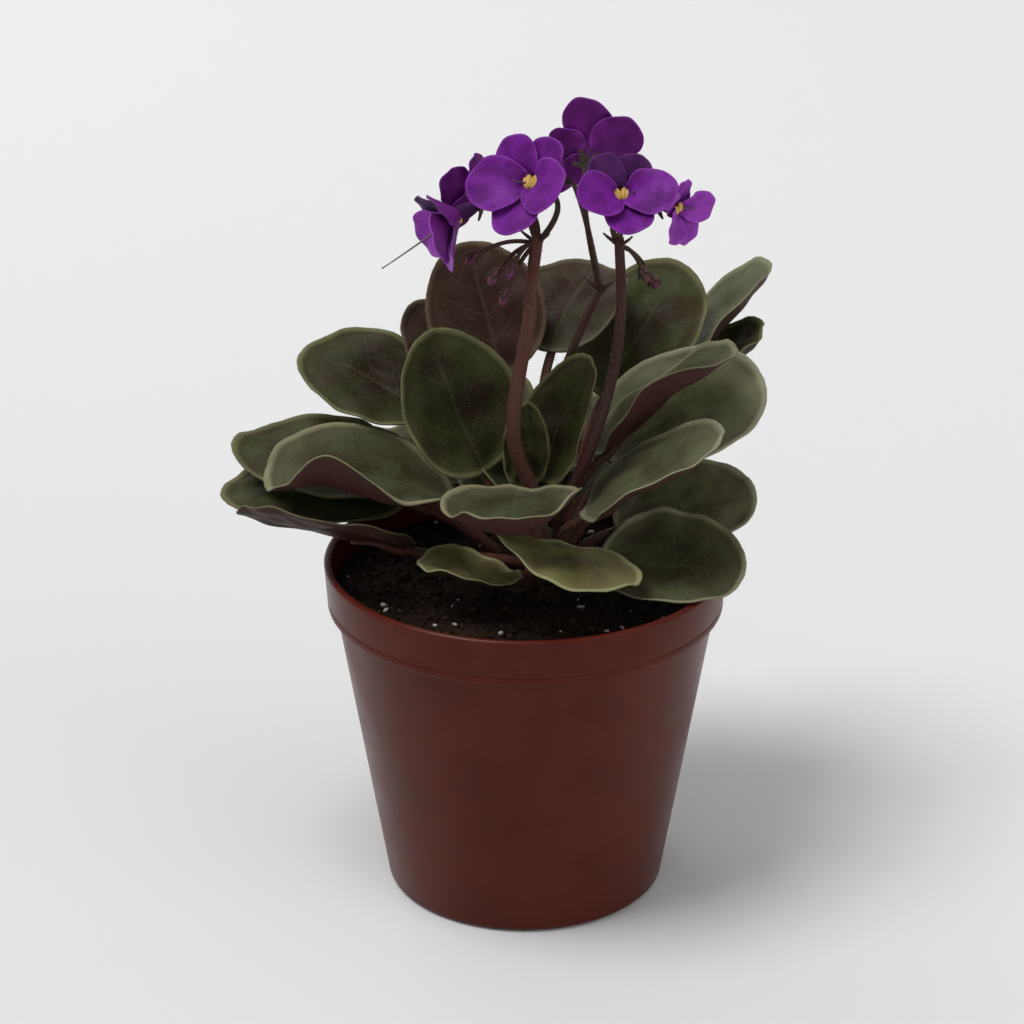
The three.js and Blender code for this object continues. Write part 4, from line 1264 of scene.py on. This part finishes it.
class VioletSettings(bpy.types.PropertyGroup):
    seed: IntProperty(name="Seed", description="Starts the random placing of down and crumbs", default=7)
    leaf_cells: IntProperty(
        name="Leaf cells", description="Cells along and across a leaf", default=46, min=8)
    petal_cells: IntProperty(
        name="Petal cells", description="Cells along and across a petal", default=22, min=6)
    relief: FloatProperty(
        name="Vein relief", description="Depth of the veins in a leaf, in mm", default=0.3)
    swell: FloatProperty(
        name="Swells", description="Height of the soft swells in a leaf, in mm", default=1.8)
    ruffle: FloatProperty(
        name="Ruffle", description="Height of the ruffles of a petal, in mm", default=0.35)
    down: IntProperty(
        name="Down", description="Hairs on each margin, face and petiole", default=140, min=0)
    soil_rings: IntProperty(
        name="Soil rings", description="Rings of faces in the top of the soil", default=60)
    crumbs: IntProperty(name="Crumbs", description="Loose crumbs of soil", default=700, min=0)
    perlite: IntProperty(name="Perlite", description="White grains in the soil", default=60, min=0)
    pot_steps: IntProperty(name="Pot steps", description="Faces round the pot", default=144, min=16)
    backdrop: FloatVectorProperty(
        name="Backdrop", description="Colour of the floor and wall", subtype="COLOR",
        default=(0.68, 0.68, 0.675))
    sky: FloatProperty(
        name="Sky", description="Strength of the light from all round", default=0.44, min=0)
    key: FloatProperty(name="Key light", description="Strength of the main light", default=1.95, min=0)
    rim: FloatProperty(
        name="Rim light", description="Power of the light behind", subtype="POWER", default=5)
    fill: FloatProperty(
        name="Fill light", description="Power of the light at the right", subtype="POWER", default=4.5)
    lens: FloatProperty(name="Lens", description="Focal length in millimetres", default=118, min=20)


class PieceMaker:
    """What the operators that make pieces share: each makes its own seeded random draws."""
    bl_options = {"REGISTER", "UNDO"}
    draws = 0

    def execute(self, context):
        settings = context.scene.violet
        self.build(settings, random.Random(settings.seed + self.draws))
        return {"FINISHED"}


class VIOLET_OT_pot(PieceMaker, bpy.types.Operator):
    """Makes the plastic pot"""
    bl_idname = "violet.pot"
    bl_label = "Pot"

    def build(self, settings, dice):
        make_pot(settings)


class VIOLET_OT_soil(PieceMaker, bpy.types.Operator):
    """Makes the soil with its crumbs and perlite"""
    bl_idname = "violet.soil"
    bl_label = "Soil"
    draws = 1

    def build(self, settings, dice):
        make_soil(settings, dice)


class VIOLET_OT_crown(PieceMaker, bpy.types.Operator):
    """Makes the crown with its youngest leaves"""
    bl_idname = "violet.crown"
    bl_label = "Crown"
    draws = 2

    def build(self, settings, dice):
        make_crown(settings, dice)


class VIOLET_OT_leaves(PieceMaker, bpy.types.Operator):
    """Makes all the leaves with their petioles"""
    bl_idname = "violet.leaves"
    bl_label = "Leaves"
    draws = 3

    def build(self, settings, dice):
        for name, leaf in LEAVES.items():
            make_leaf(name, leaf, settings, dice)


class VIOLET_OT_stalks(PieceMaker, bpy.types.Operator):
    """Makes the flower stalks with their pedicels, calyces and buds"""
    bl_idname = "violet.stalks"
    bl_label = "Flower stalks"
    draws = 4

    def build(self, settings, dice):
        blooms = [Bloom(values) for values in BLOOMS.values()]
        for name, stalk in STALKS.items():
            make_stalk(name, stalk, blooms, settings, dice)


class VIOLET_OT_blooms(PieceMaker, bpy.types.Operator):
    """Makes the blooms and their anthers"""
    bl_idname = "violet.blooms"
    bl_label = "Blooms"
    draws = 5

    def build(self, settings, dice):
        for name, values in BLOOMS.items():
            make_bloom(name, Bloom(values), settings)
            make_anthers(name, Bloom(values))


class VIOLET_OT_stage(PieceMaker, bpy.types.Operator):
    """Sets the floor, the lights and the camera"""
    bl_idname = "violet.stage"
    bl_label = "Stage"

    def build(self, settings, dice):
        make_stage(settings)


STEPS = [VIOLET_OT_pot, VIOLET_OT_soil, VIOLET_OT_crown, VIOLET_OT_leaves, VIOLET_OT_stalks,
         VIOLET_OT_blooms, VIOLET_OT_stage]


class VIOLET_PT_panel(bpy.types.Panel):
    """The steps of making the plant, and their settings"""
    bl_idname = "VIOLET_PT_panel"
    bl_label = "Potted violet"
    bl_space_type = "VIEW_3D"
    bl_region_type = "UI"
    bl_category = "Violet"

    def draw(self, context):
        for step in STEPS:
            self.layout.operator(step.bl_idname)
        for name in VioletSettings.__annotations__:
            self.layout.prop(context.scene.violet, name)


CLASSES = [VioletSettings, *STEPS, VIOLET_PT_panel]


def register():
    for made in CLASSES:
        bpy.utils.register_class(made)
    bpy.types.Scene.violet = PointerProperty(type=VioletSettings)


def unregister():
    del bpy.types.Scene.violet
    for made in reversed(CLASSES):
        bpy.utils.unregister_class(made)


def main():
    register()
    bpy.ops.violet.pot()
    bpy.ops.violet.soil()
    bpy.ops.violet.crown()
    bpy.ops.violet.leaves()
    bpy.ops.violet.stalks()
    bpy.ops.violet.blooms()
    bpy.ops.violet.stage()
    bpy.context.view_layer.update()


if __name__ == "__main__":
    main()
